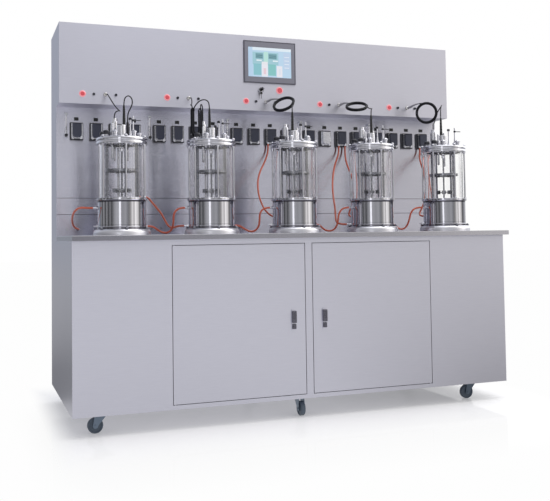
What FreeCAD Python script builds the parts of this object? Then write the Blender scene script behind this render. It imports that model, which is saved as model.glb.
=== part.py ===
import FreeCAD, Part
import math
import os
import re

import Sketcher
from FreeCAD import Placement, Rotation, Vector

# A five-vessel parallel bioreactor: a castered stainless cabinet with two doors, a
# worktop that carries five jacketed glass vessels, and a tower behind them whose back
# panel holds the dosing pumps and whose console holds the screen and the controls.
# Millimetres. +Z is up, the front faces -Y, and the origin is under the middle of the
# whole object, on the floor.

os.makedirs("parts", exist_ok=True)
doc = FreeCAD.newDocument("bioreactor_station")
sheet = doc.addObject("Spreadsheet::Sheet", "Sizes")

SIZES = {
    # cabinet and worktop
    "cab_width": 2400, "cab_depth": 990, "wall": 1.5, "cab_bottom": 100,
    "worktop_top": 950, "worktop_thick": 25, "overhang_front": 20, "overhang_side": 28,
    "rim_depth": 30,
    # doors: two pans in the front, each side of a centre stile
    "door_width": 697, "door_height": 771, "door_thick": 20, "door_bottom": 124,
    "door_gap": 3, "stile_width": 44, "reveal_depth": 22,
    "pivot_inset": 8, "pivot_depth": 6, "pivot_radius": 3, "pivot_length": 16,
    "pin_clear": 0.05,
    # latches: a plate, a lever above and a key barrel below
    "latch_inset": 64, "latch_height": 505, "latch_plate_w": 27, "latch_plate_h": 110,
    "latch_plate_t": 2.5, "spindle_radius": 6, "lever_width": 18, "lever_length": 50,
    "lever_thick": 9, "barrel_radius": 8, "barrel_drop": 34, "cam_length": 84,
    "cam_width": 16, "cam_thick": 3, "cam_depth": 24,
    # tower, console and panels
    "tower_front": 703, "console_front": 554, "console_bottom": 1665,
    "console_top": 2104, "strip_inset": 60, "strip_bottom": 1069, "strip_height": 91,
    "seam_width": 3, "seam_depth": 0.6, "cover_clear": 0.5,
    # touch screen
    "screen_x": 1203, "screen_drop": 153, "screen_z": "=console_top - screen_drop",
    "bezel_w": 322, "bezel_h": 247,
    "bezel_proud": 7, "bezel_body": 40, "bezel_rim": 12, "view_w": 268, "view_h": 174,
    "glass_thick": 2,
    # stations
    "station_first": 268, "station_pitch": "=(cab_width - 2 * station_first) / 4",
    "control_z": 1719,
    "button_dx": 145, "lamp_radius": 11, "ring_radius": 15, "ring_proud": 4,
    "button_proud": 9, "button_travel": 4, "button_shank": 20,
    "socket_dx": 85, "socket_step": 120, "socket_radius": 7.5, "socket_proud": 9,
    "plug_dx": 22, "plug_radius": 9, "plug_proud": 22,
    "key_x": 1146, "alarm_x": 1263, "aux_z": 1790, "alarm_radius": 14,
    "key_radius": 9, "key_proud": 14,
    # pumps, displays and gas meters on the back panel
    "pump_pitch": "=(station_pitch - 38) / 4", "pump_z": 1530, "pump_w": 72, "pump_h": 98,
    "pump_plate": 6,
    "pump_body_w": 58, "pump_body_h": 80, "pump_body_d": 32, "pump_round": 6,
    "readout_z": 1601, "readout_w": 24, "readout_h": 18, "readout_d": 4,
    "meter_z": 1506, "meter_radius": 7, "meter_tube": 104, "meter_block": 18,
    "meter_base": 22, "meter_knob": 9, "meter_gap": 12.5,
    "meter_dx": "=1.5 * pump_pitch + (pump_w + meter_block) / 2 + meter_gap",
    # vessels, from the worktop up
    "vessel_depth": 180, "base_radius": 142, "base_thick": 30, "jacket_radius": 120,
    "jacket_wall": 3, "bowl_radius": 100, "bowl_floor": 58, "jacket_top": 172,
    "flange_radius": 127, "flange_thick": 14, "glass_radius": 110, "glass_wall": 7,
    "glass_length": 266, "head_ring": 16, "head_plate": 20, "head_radius": 128,
    "head_bore": 96, "head_groove": 4, "rod_radius": 4.5, "rod_circle": 119, "nut_radius": 8,
    "nut_height": 9, "foot_circle": 129,
    "cage_radius": 82, "cage_strip": 2, "cage_width": 16, "cage_ring_z": 318,
    "cage_ring_h": 12, "cage_bottom": 84,
    "shaft_radius": 5, "shaft_bottom": 90, "impeller_radius": 48, "impeller_low": 120,
    "impeller_mid": 224, "impeller_high": 322, "blade_height": 20, "blade_width": 24,
    "blade_thick": 2, "hub_radius": 12, "disc_thick": 2,
    "can_radius": 23, "can_height": 66, "can_foot": 30, "can_foot_h": 12,
    "can_bore": 12, "boot_radius": 8, "boot_tip": 5, "boot_height": 96,
    "probe_circle": 64, "probe_radius": 6, "probe_tip": 110, "gland_radius": 10,
    "gland_height": 34, "probe_head": 30, "sensor_radius": 17, "sensor_height": 92,
    "sensor_neck": 12, "sensor_neck_h": 15, "body_radius": 11, "body_height": 66,
    "body_neck": 7, "body_neck_h": 22,
    "port_circle": 94, "port_radius": 12, "port_height": 26, "port_lip": 15,
    "port_lip_h": 5,
    "tap_circle": 46, "valve_circle": 70, "valve_foot": 10, "valve_stem": 3.5,
    "valve_cone": 50, "valve_height": 107, "valve_knob": 8, "valve_knob_h": 12,
    "lever_reach": 38, "lever_drop": 24,
    # hose fittings
    "barb_radius": 4.5, "barb_length": 14, "hex_radius": 8, "hex_length": 10,
    "seat_gap": 0.3, "barb_high": 137, "barb_low": 45, "barb_rear": 90,
    "panel_port_dx": 213, "panel_port_gap": 58, "panel_port_z": 987,
    # casters
    "wheel_radius": 37.5, "wheel_width": 24, "tread": 7, "axle_radius": 5,
    "caster_trail": 38, "caster_inset": 158, "caster_setback": 110,
    "caster_mid_shift": -25, "plate_length": 95, "plate_width": 75, "plate_thick": 4,
    "kingpin_radius": 6, "crown_radius": 24, "crown_thick": 9, "crown_gap": 0.3,
    "leg_thick": 4, "leg_foot": 26, "leg_gap": 1.5,
    # what the cabinet and the tower hold
    "unit_width": 250, "unit_depth": 210, "unit_height": 300, "unit_back": 40,
    "unit_motor_r": 45, "unit_motor_h": 110,
    "gear_width": 1500, "gear_height": 460, "gear_z": 1130, "gear_stand": 24,
    "gear_plate": 3, "gear_box": 110, "gear_deep": 120, "gear_pitch": 240,
    # silicone hoses and sensor cables
    "hose_radius": 5, "cable_radius": 3, "coil_radius": 60, "bundle_radius": 7,
}
for row, (alias, number) in enumerate(SIZES.items(), 1):
    sheet.set(f"A{row}", alias)
    sheet.set(f"B{row}", str(number))
    sheet.setAlias(f"B{row}", alias)
doc.recompute()

# Where things start, as expressions of the sizes above.
LEFT = "(0 - (cab_width + overhang_side) / 2)"
FRONT = "((overhang_front - cab_depth) / 2)"
TABLE = "worktop_top"
GLASS_FOOT = "(jacket_top + flange_thick)"
GLASS_TOP = f"({GLASS_FOOT} + glass_length)"
HEAD_TOP = f"({GLASS_TOP} + head_ring + head_plate)"
STATIONS = range(5)
nodes = []


def expr(text):
    """The sheet's expression for a text that is written with bare size names."""
    return re.sub(r"[a-z]\w*", lambda word: f"Sizes.{word.group()}", str(text))


def value(text):
    """The number that such a text comes to, in millimetres."""
    return float(sheet.evalExpression(expr(text)))


def place(obj, x=0, y=0, z=0, turn=None):
    """Sets an object's place from three texts, after an optional rotation."""
    if turn is not None:
        obj.Placement = Placement(Vector(), turn)
    for axis, text in zip("xyz", (x, y, z)):
        obj.setExpression(f"Placement.Base.{axis}", expr(text))
    return obj


def box(name, size, at=(0, 0, 0)):
    block = doc.addObject("Part::Box", name)
    for prop, text in zip(("Length", "Width", "Height"), size):
        block.setExpression(prop, expr(text))
    return place(block, *at)


def rod(name, radius, height, at=(0, 0, 0), turn=None):
    bar = doc.addObject("Part::Cylinder", name)
    bar.setExpression("Radius", expr(radius))
    bar.setExpression("Height", expr(height))
    return place(bar, *at, turn=turn)


def fuse(name, *pieces):
    joined = doc.addObject("Part::MultiFuse", name)
    joined.Shapes = list(pieces)
    joined.Refine = True
    return joined


def cut(name, base, *tools):
    tool = tools[0] if len(tools) == 1 else fuse(f"{name}_tools", *tools)
    result = doc.addObject("Part::Cut", name)
    result.Base = base
    result.Tool = tool
    result.Refine = True
    return result


def rounded(name, base, radius, edges):
    """Rounds the edges whose direction or place the function edges picks."""
    doc.recompute()
    picked = [i for i, edge in enumerate(base.Shape.Edges, 1) if edges(edge)]
    fillet = doc.addObject("Part::Fillet", name)
    fillet.Base = base
    fillet.Edges = [(i, value(radius), value(radius)) for i in picked]
    return fillet


def upright(edge):
    ends = [vertex.Point for vertex in edge.Vertexes]
    return len(ends) == 2 and abs((ends[0] - ends[1]).z) > edge.Length * 0.99


def along_y(edge):
    ends = [vertex.Point for vertex in edge.Vertexes]
    return len(ends) == 2 and abs((ends[0] - ends[1]).y) > edge.Length * 0.99


def sketch_on(body, role, corners):
    """A closed outline on one of the body's planes, each corner tied to the sheet."""
    plane = next(o for o in body.Origin.OriginFeatures if o.Role == role)
    sketch = body.newObject("Sketcher::SketchObject", f"{body.Name}_outline")
    sketch.AttachmentSupport = [(plane, "")]
    sketch.MapMode = "FlatFace"
    points = [Vector(value(x), value(y), 0) for x, y in corners]
    count = len(points)
    for i, point in enumerate(points):
        sketch.addGeometry(Part.LineSegment(point, points[(i + 1) % count]), False)
    for i in range(count):
        after = (i + 1) % count
        sketch.addConstraint(Sketcher.Constraint("Coincident", i, 2, after, 1))
    for i, corner in enumerate(corners):
        for kind, text, axis in zip(("DistanceX", "DistanceY"), corner, (-2, -1)):
            size = value(text)
            if size == 0:
                rule = Sketcher.Constraint("PointOnObject", i, 1, axis)
                sketch.addConstraint(rule)
            else:
                rule = Sketcher.Constraint(kind, -1, 1, i, 1, size)
                number = sketch.addConstraint(rule)
                sketch.setExpression(f"Constraints[{number}]", expr(text))
    return sketch


def turned(name, corners):
    """A piece turned about its own Z axis, from an outline of (radius, height)."""
    body = doc.addObject("PartDesign::Body", name)
    sketch = sketch_on(body, "XZ_Plane", corners)
    spin = body.newObject("PartDesign::Revolution", f"{name}_turned")
    spin.Profile = sketch
    spin.ReferenceAxis = (sketch, ["V_Axis"])
    spin.Angle = 360
    body.Tip = spin
    return body


def bored(name, radius_in, radius_out, low, high):
    """A plain ring or tube about Z."""
    return turned(name, [(radius_in, low), (radius_out, low), (radius_out, high),
                         (radius_in, high)])


def copies(name, piece, places):
    """Links to one piece, each at its own place: (x, y, z) or (x, y, z, rotation)."""
    links = []
    for number, spot in enumerate(places):
        link = doc.addObject("App::Link", f"{name}_{number}")
        link.LinkedObject = piece
        link.LinkTransform = True
        turn = spot[3] if len(spot) > 3 else None
        links.append(place(link, *spot[:3], turn=turn))
    return links


def node(label, *pieces):
    """Names the sub-part. Several pieces stay separate solids in one group."""
    if len(pieces) == 1 and pieces[0].TypeId != "App::Link":
        part = pieces[0]
    else:
        part = doc.addObject("Part::Compound", label)
        part.Links = list(pieces)
    part.Label = label
    nodes.append(part)
    return part


def station_x(i, offset="0"):
    return f"{LEFT} + station_first + {i} * station_pitch + {offset}"


def each_station(z, y=f"{FRONT} + vessel_depth"):
    return [(station_x(i), y, z) for i in STATIONS]


TO_FRONT = Rotation(Vector(1, 0, 0), 90)


# Cabinet: one welded sheet carcass, open at the back and top, with a turned-in rim
# under the worktop and turned-in reveals round the two door openings.
def build_cabinet():
    height = "worktop_top - worktop_thick - cab_bottom"
    outer = box("carcass_outer", ("cab_width", "cab_depth", height),
                (LEFT, FRONT, "cab_bottom"))
    inner = box("carcass_inner", ("cab_width - 2 * wall", "cab_depth", height),
                (f"{LEFT} + wall", f"{FRONT} + wall", "cab_bottom + wall"))
    tray = cut("carcass_tray", outer, inner)
    rim_top = box("rim_outer", ("cab_width - 2 * wall", "tower_front - wall", "wall"),
                  (f"{LEFT} + wall", f"{FRONT} + wall",
                   "worktop_top - worktop_thick - wall"))
    rim_hole = box("rim_hole", ("cab_width - 2 * rim_depth",
                                "tower_front - 2 * rim_depth", "3 * wall"),
                   (f"{LEFT} + rim_depth", f"{FRONT} + rim_depth",
                    "worktop_top - worktop_thick - 2 * wall"))
    rim = cut("carcass_rim", rim_top, rim_hole)
    reveals = []
    holes = []
    for side, x in (("left", door_x("left")), ("right", door_x("right"))):
        reveals.append(box(f"reveal_{side}",
                           ("door_width + 2 * door_gap + 2 * wall", "reveal_depth",
                            "door_height + 2 * door_gap + 2 * wall"),
                           (f"{x} - door_gap - wall", FRONT,
                            "door_bottom - door_gap - wall")))
        holes.append(box(f"door_hole_{side}",
                         ("door_width + 2 * door_gap", "reveal_depth + 2",
                          "door_height + 2 * door_gap"),
                         (f"{x} - door_gap", f"{FRONT} - 1",
                          "door_bottom - door_gap")))
    shell = cut("carcass_shell", fuse("carcass_sheet", tray, rim, *reveals), *holes)
    pins = []
    for side in ("left", "right"):
        x, y = pivot(side)
        pins.append(rod(f"pin_low_{side}", "pivot_radius",
                        "door_gap + pivot_length", (x, y, "door_bottom - door_gap")))
        pins.append(rod(f"pin_high_{side}", "pivot_radius",
                        "door_gap + pivot_length",
                        (x, y, "door_bottom + door_height - pivot_length")))
    node("cabinet_shell", fuse("cabinet_with_pins", shell, *pins))


def door_x(side):
    """Left edge of a door: the two stand each side of the stile."""
    middle = f"{LEFT} + cab_width / 2"
    if side == "left":
        return f"{middle} - stile_width / 2 - door_width"
    return f"{middle} + stile_width / 2"


def pivot(side):
    """Upright hinge line of a door, near its outer front corner."""
    inset = "pivot_inset" if side == "left" else "door_width - pivot_inset"
    return f"{door_x(side)} + {inset}", f"{FRONT} + pivot_depth"


def latch_x(side):
    inset = "door_width - latch_inset" if side == "left" else "latch_inset"
    return f"{door_x(side)} + {inset}"


# Door: a sheet pan folded back at its four edges, with holes for the pivot pins. The
# latch plate with its key barrel is screwed to its face.
def build_door(side):
    x = door_x(side)
    panel = box(f"door_{side}_panel", ("door_width", "door_thick", "door_height"),
                (x, FRONT, "door_bottom"))
    hollow = box(f"door_{side}_hollow",
                 ("door_width - 2 * wall", "door_thick", "door_height - 2 * wall"),
                 (f"{x} + wall", f"{FRONT} + wall", "door_bottom + wall"))
    pin_x, pin_y = pivot(side)
    pins = rod(f"door_{side}_pin_hole", "pivot_radius + pin_clear",
               "door_height + 2", (pin_x, pin_y, "door_bottom - 1"))
    spindle = rod(f"door_{side}_spindle_hole", "spindle_radius + pin_clear",
                  "door_thick", (latch_x(side), f"{FRONT} + door_thick - 1",
                                 "latch_height"), TO_FRONT)
    pan = cut(f"door_{side}_pan", panel, hollow, pins, spindle)
    plate = box(f"latch_{side}_plate",
                ("latch_plate_w", "latch_plate_t", "latch_plate_h"),
                (f"{latch_x(side)} - latch_plate_w / 2", f"{FRONT} - latch_plate_t",
                 "latch_height - latch_plate_h / 2"))
    soft_plate = rounded(f"latch_{side}_soft_plate", plate, "latch_plate_w / 4",
                         along_y)
    barrel = rod(f"latch_{side}_barrel", "barrel_radius", "latch_plate_t + 2",
                 (latch_x(side), FRONT, "latch_height - barrel_drop"), TO_FRONT)
    hole = rod(f"latch_{side}_hole", "spindle_radius + pin_clear",
               "latch_plate_t + 2", (latch_x(side), f"{FRONT} + 1", "latch_height"),
               TO_FRONT)
    escutcheon = cut(f"latch_{side}_escutcheon",
                     fuse(f"latch_{side}_face", soft_plate, barrel), hole)
    node(f"door_{side}", pan, escutcheon)


# Latch lever: a quarter-turn lever with its spindle through the door and the cam on
# the spindle's inner end.
def build_latch(side):
    x = latch_x(side)
    gap = "seat_gap"
    lever_back = f"{FRONT} - latch_plate_t - {gap}"
    lever = box(f"lever_{side}_bar", ("lever_width", "lever_thick", "lever_length"),
                (f"{x} - lever_width / 2", f"{lever_back} - lever_thick",
                 "latch_height - lever_width / 2"))
    soft_lever = rounded(f"lever_{side}_soft", lever, "lever_width / 4", along_y)
    spindle = rod(f"lever_{side}_spindle", "spindle_radius",
                  f"latch_plate_t + {gap} + cam_depth + 1",
                  (x, f"{FRONT} + cam_depth", "latch_height"), TO_FRONT)
    cam = box(f"lever_{side}_cam", ("cam_width", "cam_thick", "cam_length"),
              (f"{x} - cam_width / 2", f"{FRONT} + cam_depth",
               "latch_height - cam_width / 2"))
    node(f"latch_{side}", fuse(f"lever_{side}_whole", soft_lever, spindle, cam))


# Worktop: a sheet-clad slab that overhangs the front and the right end.
def build_worktop():
    slab = box("worktop_slab", ("cab_width + overhang_side",
                                "tower_front + overhang_front", "worktop_thick"),
               (LEFT, f"{FRONT} - overhang_front", "worktop_top - worktop_thick"))
    node("worktop", rounded("worktop_rounded", slab, "wall", upright))


# Tower and console: one sheet housing, L-shaped in section, open below the console
# (the back panel closes it there) and at the rear (the rear cover closes it).
def build_tower():
    floor = "worktop_top - worktop_thick"
    tower_y = f"{FRONT} + tower_front + wall"
    tower = box("tower_outer", ("cab_width", "cab_depth - tower_front - wall",
                                f"console_top - ({floor})"), (LEFT, tower_y, floor))
    console = box("console_outer", ("cab_width", "tower_front + wall - console_front",
                                    "console_top - console_bottom"),
                  (LEFT, f"{FRONT} + console_front", "console_bottom"))
    tower_in = box("tower_inner", ("cab_width - 2 * wall", "cab_depth",
                                   f"console_top - ({floor})"),
                   (f"{LEFT} + wall", f"{tower_y} - wall", f"{floor} - wall"))
    console_in = box("console_inner", ("cab_width - 2 * wall",
                                       "tower_front + wall - console_front",
                                       "console_top - console_bottom - 2 * wall"),
                     (f"{LEFT} + wall", f"{FRONT} + console_front + wall",
                      "console_bottom + wall"))
    face = f"{FRONT} + console_front + wall + 1"
    holes = [box("screen_hole", ("bezel_w - 2 * bezel_rim", "wall + 2",
                                 "bezel_h - 2 * bezel_rim"),
                 (f"{LEFT} + screen_x - bezel_w / 2 + bezel_rim",
                  f"{FRONT} + console_front - 1",
                  "screen_z - bezel_h / 2 + bezel_rim"))]
    for i in STATIONS:
        holes.append(rod(f"lamp_hole_{i}", "lamp_radius + seat_gap", "wall + 2",
                         (station_x(i, "0 - button_dx"), face, "control_z"), TO_FRONT))
    holes.append(rod("alarm_hole", "alarm_radius + seat_gap", "wall + 2",
                     (f"{LEFT} + alarm_x", face, "aux_z"), TO_FRONT))
    holes.append(rod("key_hole", "key_radius + pin_clear", "wall + 2",
                     (f"{LEFT} + key_x", face, "aux_z"), TO_FRONT))
    node("tower_housing", cut("tower_shell", fuse("tower_block", tower, console),
                              tower_in, console_in, *holes))


# Back panel: the flat sheet between worktop and console. A shallow groove frames the
# long cover strip that hides the hose runs.
def build_back_panel():
    panel = box("panel_sheet", ("cab_width", "wall", "console_bottom - worktop_top"),
                (LEFT, f"{FRONT} + tower_front", TABLE))
    face = f"{FRONT} + tower_front - 1"
    frame = box("strip_outer", ("cab_width - 2 * strip_inset", "seam_depth + 1",
                                "strip_height"), (f"{LEFT} + strip_inset", face,
                                                  "strip_bottom"))
    inside = box("strip_inner", ("cab_width - 2 * strip_inset - 2 * seam_width",
                                 "seam_depth + 1", "strip_height - 2 * seam_width"),
                 (f"{LEFT} + strip_inset + seam_width", face,
                  "strip_bottom + seam_width"))
    node("back_panel", cut("panel_with_seams", panel,
                           cut("panel_seam", frame, inside)))


def build_rear_cover():
    node("rear_cover", box("rear_sheet",
                           ("cab_width - 2 * wall - 2 * cover_clear", "wall",
                            "console_top - cab_bottom - 2 * wall - 2 * cover_clear"),
                           (f"{LEFT} + wall + cover_clear", f"{FRONT} + cab_depth - wall",
                            "cab_bottom + wall + cover_clear")))


# Touch screen: a moulded bezel whose body reaches back through the console, and the
# glass that lies in its front.
def build_screen():
    x = f"{LEFT} + screen_x"
    face = f"{FRONT} + console_front"
    rim = box("bezel_face", ("bezel_w", "bezel_proud", "bezel_h"),
              (f"{x} - bezel_w / 2", f"{face} - bezel_proud",
               "screen_z - bezel_h / 2"))
    back = box("bezel_back", ("bezel_w - 2 * bezel_rim - 2 * cover_clear", "bezel_body",
                              "bezel_h - 2 * bezel_rim - 2 * cover_clear"),
               (f"{x} - bezel_w / 2 + bezel_rim + cover_clear", face,
                "screen_z - bezel_h / 2 + bezel_rim + cover_clear"))
    window = box("bezel_window", ("view_w", "glass_thick + 2", "view_h"),
                 (f"{x} - view_w / 2", f"{face} - bezel_proud - 1",
                  "screen_z - view_h / 2"))
    soft_rim = rounded("bezel_soft", rim, "bezel_proud / 2", along_y)
    node("screen_bezel", cut("bezel_whole", fuse("bezel_block", soft_rim, back),
                             window))
    node("screen_display", box("display_glass",
                               ("view_w - 2 * seat_gap", "glass_thick",
                                "view_h - 2 * seat_gap"),
                               (f"{x} - view_w / 2 + seat_gap",
                                f"{face} - bezel_proud + 1",
                                "screen_z - view_h / 2 + seat_gap")))


# Push buttons: a lens on a shank that slides in its ring. The rings, the sensor
# sockets and the cable plugs are screwed into the console's face.
def button(label, radius, x, z):
    lens = turned(f"{label}_lens", [(0, "0 - button_shank"),
                                    (f"{radius} / 2", "0 - button_shank"),
                                    (f"{radius} / 2", 0), (radius, 0),
                                    (radius, "button_proud - 2"),
                                    (f"{radius} - 2", "button_proud"),
                                    (0, "button_proud")])
    node(label, place(lens, x, f"{FRONT} + console_front", z, TO_FRONT))


def build_controls():
    face = f"{FRONT} + console_front"
    for i in STATIONS:
        button(f"station_button_{i + 1}", "lamp_radius",
               station_x(i, "0 - button_dx"), "control_z")
    button("alarm_button", "alarm_radius", f"{LEFT} + alarm_x", "aux_z")
    barrel = turned("key_barrel", [(0, "0 - button_shank"),
                                   ("key_radius", "0 - button_shank"),
                                   ("key_radius", "key_proud - 2"),
                                   ("key_radius - 2", "key_proud"), (0, "key_proud")])
    bow = box("key_bow", ("key_radius * 2.4", "2", "key_radius * 2.4"),
              ("0 - key_radius * 1.2", -1, "key_proud + 6"))
    blade = box("key_blade", ("key_radius * 0.7", "2", "8"),
                ("0 - key_radius * 0.35", -1, "key_proud - 1"))
    key = fuse("key_whole", barrel, rounded("key_soft_bow", bow, "key_radius * 0.8",
                                            along_y), blade)
    node("key_switch", place(key, f"{LEFT} + key_x", face, "aux_z", TO_FRONT))
    ring = bored("lamp_ring", "lamp_radius + seat_gap", "ring_radius", 0, "ring_proud")
    alarm_ring = bored("alarm_ring", "alarm_radius + seat_gap", "alarm_radius + 5", 0,
                       "ring_proud")
    key_ring = bored("key_ring", "key_radius + pin_clear", "key_radius + 4", 0,
                     "ring_proud")
    socket = turned("socket", [(0, 0), ("socket_radius", 0),
                               ("socket_radius", "socket_proud - 2"),
                               ("socket_radius - 2", "socket_proud"),
                               (0, "socket_proud")])
    plug = turned("plug", [(0, 0), ("plug_radius + 2", 0), ("plug_radius + 2", 3),
                           ("plug_radius - 1", 3), ("plug_radius - 1", 7),
                           ("plug_radius", 9), ("plug_radius", "plug_proud - 5"),
                           ("plug_radius / 2", "plug_proud"), (0, "plug_proud")])

    def on_face(offset):
        return [(station_x(i, offset), face, "control_z", TO_FRONT) for i in STATIONS]

    node("console_fittings",
         *copies("ring", ring, on_face("0 - button_dx")),
         *copies("alarm_ring_at", alarm_ring,
                 [(f"{LEFT} + alarm_x", face, "aux_z", TO_FRONT)]),
         *copies("key_ring_at", key_ring,
                 [(f"{LEFT} + key_x", face, "aux_z", TO_FRONT)]),
         *copies("socket_a", socket, on_face("0 - socket_dx")),
         *copies("socket_b", socket, on_face("socket_step - socket_dx")),
         *copies("plug_at", plug, on_face("0 - plug_dx")))


# Dosing pumps: four heads to a station, each a plate with a rounded rotor cover and
# two tube guides, and a small readout above it.
def build_pumps():
    plate = box("pump_plate_box", ("pump_w", "pump_plate", "pump_h"),
                ("0 - pump_w / 2", "0 - pump_plate", "0 - pump_h / 2"))
    cover = box("pump_cover", ("pump_body_w", "pump_body_d", "pump_body_h"),
                ("0 - pump_body_w / 2", "0 - pump_plate - pump_body_d",
                 "0 - pump_body_h / 2 + 4"))
    guides = [rod(f"pump_guide_{side}", "5", "10",
                  (f"{side} * (pump_body_w / 2 - 8)", "0 - pump_plate - 16",
                   "0 - pump_body_h / 2 - 4")) for side in (-1, 1)]
    head = fuse("pump_head", plate, rounded("pump_soft_cover", cover, "pump_round",
                                            along_y), *guides)
    readout = box("readout", ("readout_w", "readout_d", "readout_h"),
                  ("0 - readout_w / 2", "0 - readout_d", "0 - readout_h / 2"))
    spots = [(station_x(i, f"{step} * pump_pitch"), f"{FRONT} + tower_front")
             for i in STATIONS for step in (-1.5, -0.5, 0.5, 1.5)]
    node("pump_heads", *copies("pump", head, [(x, y, "pump_z") for x, y in spots]))
    node("pump_readouts", *copies("readout_at", readout,
                                  [(x, y, "readout_z") for x, y in spots]))


# Gas meters: a glass tube between two blocks, with a needle-valve knob below.
def build_meters():
    half = "meter_block / 2"
    foot = box("meter_foot", ("meter_block", "meter_base", "meter_base"),
               (f"0 - {half}", "0 - meter_base", "0 - meter_base / 2"))
    knob = rod("meter_valve", "meter_knob", "12", (0, "0 - meter_base", 0), TO_FRONT)
    top = box("meter_head", ("meter_block", "meter_base", "meter_base / 2"),
              (f"0 - {half}", "0 - meter_base", "meter_base / 2 + meter_tube"))
    tube = bored("meter_tube_glass", "meter_radius - 2", "meter_radius", 0,
                 "meter_tube")
    spots = [(station_x(i, "0 - meter_dx"), f"{FRONT} + tower_front", "meter_z")
             for i in STATIONS]
    tubes = [(x, f"{y} - meter_base / 2", f"{z} + meter_base / 2")
             for x, y, z in spots]
    node("gas_meters", *copies("meter_foot_at", fuse("meter_valve_block", foot, knob),
                               spots),
         *copies("meter_top_at", top, spots), *copies("meter_tube_at", tube, tubes))


# Vessel base: a turned plate, and on it the jacketed steel bowl with its flange.
def build_vessel_bases():
    plate = turned("base_plate", [(0, 0), ("base_radius", 0),
                                  ("base_radius", "base_thick - 8"),
                                  ("base_radius - 8", "base_thick"),
                                  (0, "base_thick")])
    outer, wall = "jacket_radius", "jacket_wall"
    jacket = turned("jacket_bowl", [
        (f"{outer} - {wall}", "base_thick"), (outer, "base_thick"),
        (outer, "jacket_top"), ("flange_radius", "jacket_top"),
        ("flange_radius", GLASS_FOOT), ("bowl_radius", GLASS_FOOT),
        ("bowl_radius", "bowl_floor + 20"), ("bowl_radius * 0.7", "bowl_floor + 5"),
        (0, "bowl_floor"), (0, f"bowl_floor - {wall}"),
        ("bowl_radius * 0.7", f"bowl_floor + 5 - {wall}"),
        (f"bowl_radius + {wall}", "bowl_floor + 17"),
        (f"bowl_radius + {wall}", f"jacket_top - {wall}"),
        (f"{outer} - {wall}", f"jacket_top - {wall}")])
    node("vessel_bases", *copies("plate_at", plate, each_station(TABLE)),
         *copies("jacket_at", jacket, each_station(TABLE)))


# Glass: a plain borosilicate tube clamped between the jacket's flange and the head.
def build_glass():
    tube = bored("vessel_glass", "glass_radius - glass_wall", "glass_radius", 0,
                 "glass_length")
    node("glass_cylinders", *copies("glass_at", tube,
                                    each_station(f"{TABLE} + {GLASS_FOOT}")))


# Head: the clamp ring on the glass and the lid plate on the ring, bored for the shaft.
# A groove runs round between the two, where their edges are cut back for the seal.
def build_heads():
    seat = f"{GLASS_TOP} + head_ring"
    inner = "head_radius - head_groove"
    ring = turned("head_clamp_ring", [
        ("head_bore", GLASS_TOP), ("head_radius", GLASS_TOP),
        ("head_radius", f"{seat} - head_groove / 2"), (inner, f"{seat} - head_groove / 2"),
        (inner, seat), ("head_bore", seat)])
    lid = turned("head_lid", [
        ("shaft_radius + pin_clear", seat), (inner, seat),
        (inner, f"{seat} + head_groove / 2"), ("head_radius", f"{seat} + head_groove / 2"),
        ("head_radius", f"{HEAD_TOP} - 2"), ("head_radius - 2", HEAD_TOP),
        ("shaft_radius + pin_clear", HEAD_TOP)])
    holes = [rod(f"probe_hole_{turn}", "probe_radius + seat_gap", "head_plate + 2",
                 around("probe_circle", turn, f"{GLASS_TOP} + head_ring - 1"))
             for turn in PROBE_TURNS]
    bored_lid = cut("head_bored_lid", lid, *holes)
    node("head_plates", *copies("head_ring_at", ring, each_station(TABLE)),
         *copies("head_lid_at", bored_lid, each_station(TABLE)))


PROBE_TURNS = (115, 215, 52)
ROD_TURNS = range(30, 390, 60)


def around(radius, degrees, z):
    """A point on a circle about the vessel's axis."""
    ray = Rotation(Vector(0, 0, 1), degrees).multVec(Vector(1, 0, 0))
    return (f"{radius} * ({ray.x:.6f})", f"{radius} * ({ray.y:.6f})", z)


# Tie rods: six round the glass, from flange to clamp ring, with a dome nut over each
# on the lid, and clamp nuts round the base plate.
def build_rods():
    bar = rod("tie_rod", "rod_radius", "glass_length")
    nut = turned("dome_nut", [(0, 0), ("nut_radius", 0),
                              ("nut_radius", "nut_height * 0.6"),
                              ("nut_radius * 0.6", "nut_height"),
                              (0, "nut_height")])
    bars = []
    nuts = []
    for i in STATIONS:
        for turn in ROD_TURNS:
            x, y, foot = around("rod_circle", turn, f"{TABLE} + {GLASS_FOOT}")
            spot = (f"{station_x(i)} + {x}", f"{FRONT} + vessel_depth + {y}")
            bars.append((*spot, foot))
            nuts.append((*spot, f"{TABLE} + {HEAD_TOP}"))
            x, y, foot = around("foot_circle", turn, f"{TABLE} + base_thick")
            nuts.append((f"{station_x(i)} + {x}", f"{FRONT} + vessel_depth + {y}",
                         foot))
    node("tie_rods", *copies("tie_rod_at", bar, bars),
         *copies("dome_nut_at", nut, nuts))


# Baffle cage: four strips hung from the lid, tied by one ring.
def build_cages():
    ring = bored("cage_ring", "cage_radius - cage_strip", "cage_radius",
                 "cage_ring_z", "cage_ring_z + cage_ring_h")
    length = f"{GLASS_TOP} + head_ring - cage_bottom"
    strips = []
    for turn in (0, 90, 180, 270):
        strip = box(f"cage_strip_{turn}", ("cage_width", "cage_strip", length))
        spin = Rotation(Vector(0, 0, 1), turn)
        corner = spin.multVec(Vector(1, 0, 0))
        strips.append(place(
            strip, f"(cage_radius - cage_width) * ({corner.x:.0f})",
            f"(cage_radius - cage_width) * ({corner.y:.0f})", "cage_bottom", spin))
    cage = fuse("cage", ring, *strips)
    node("baffle_cages", *copies("cage_at", cage, each_station(TABLE)))


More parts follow.
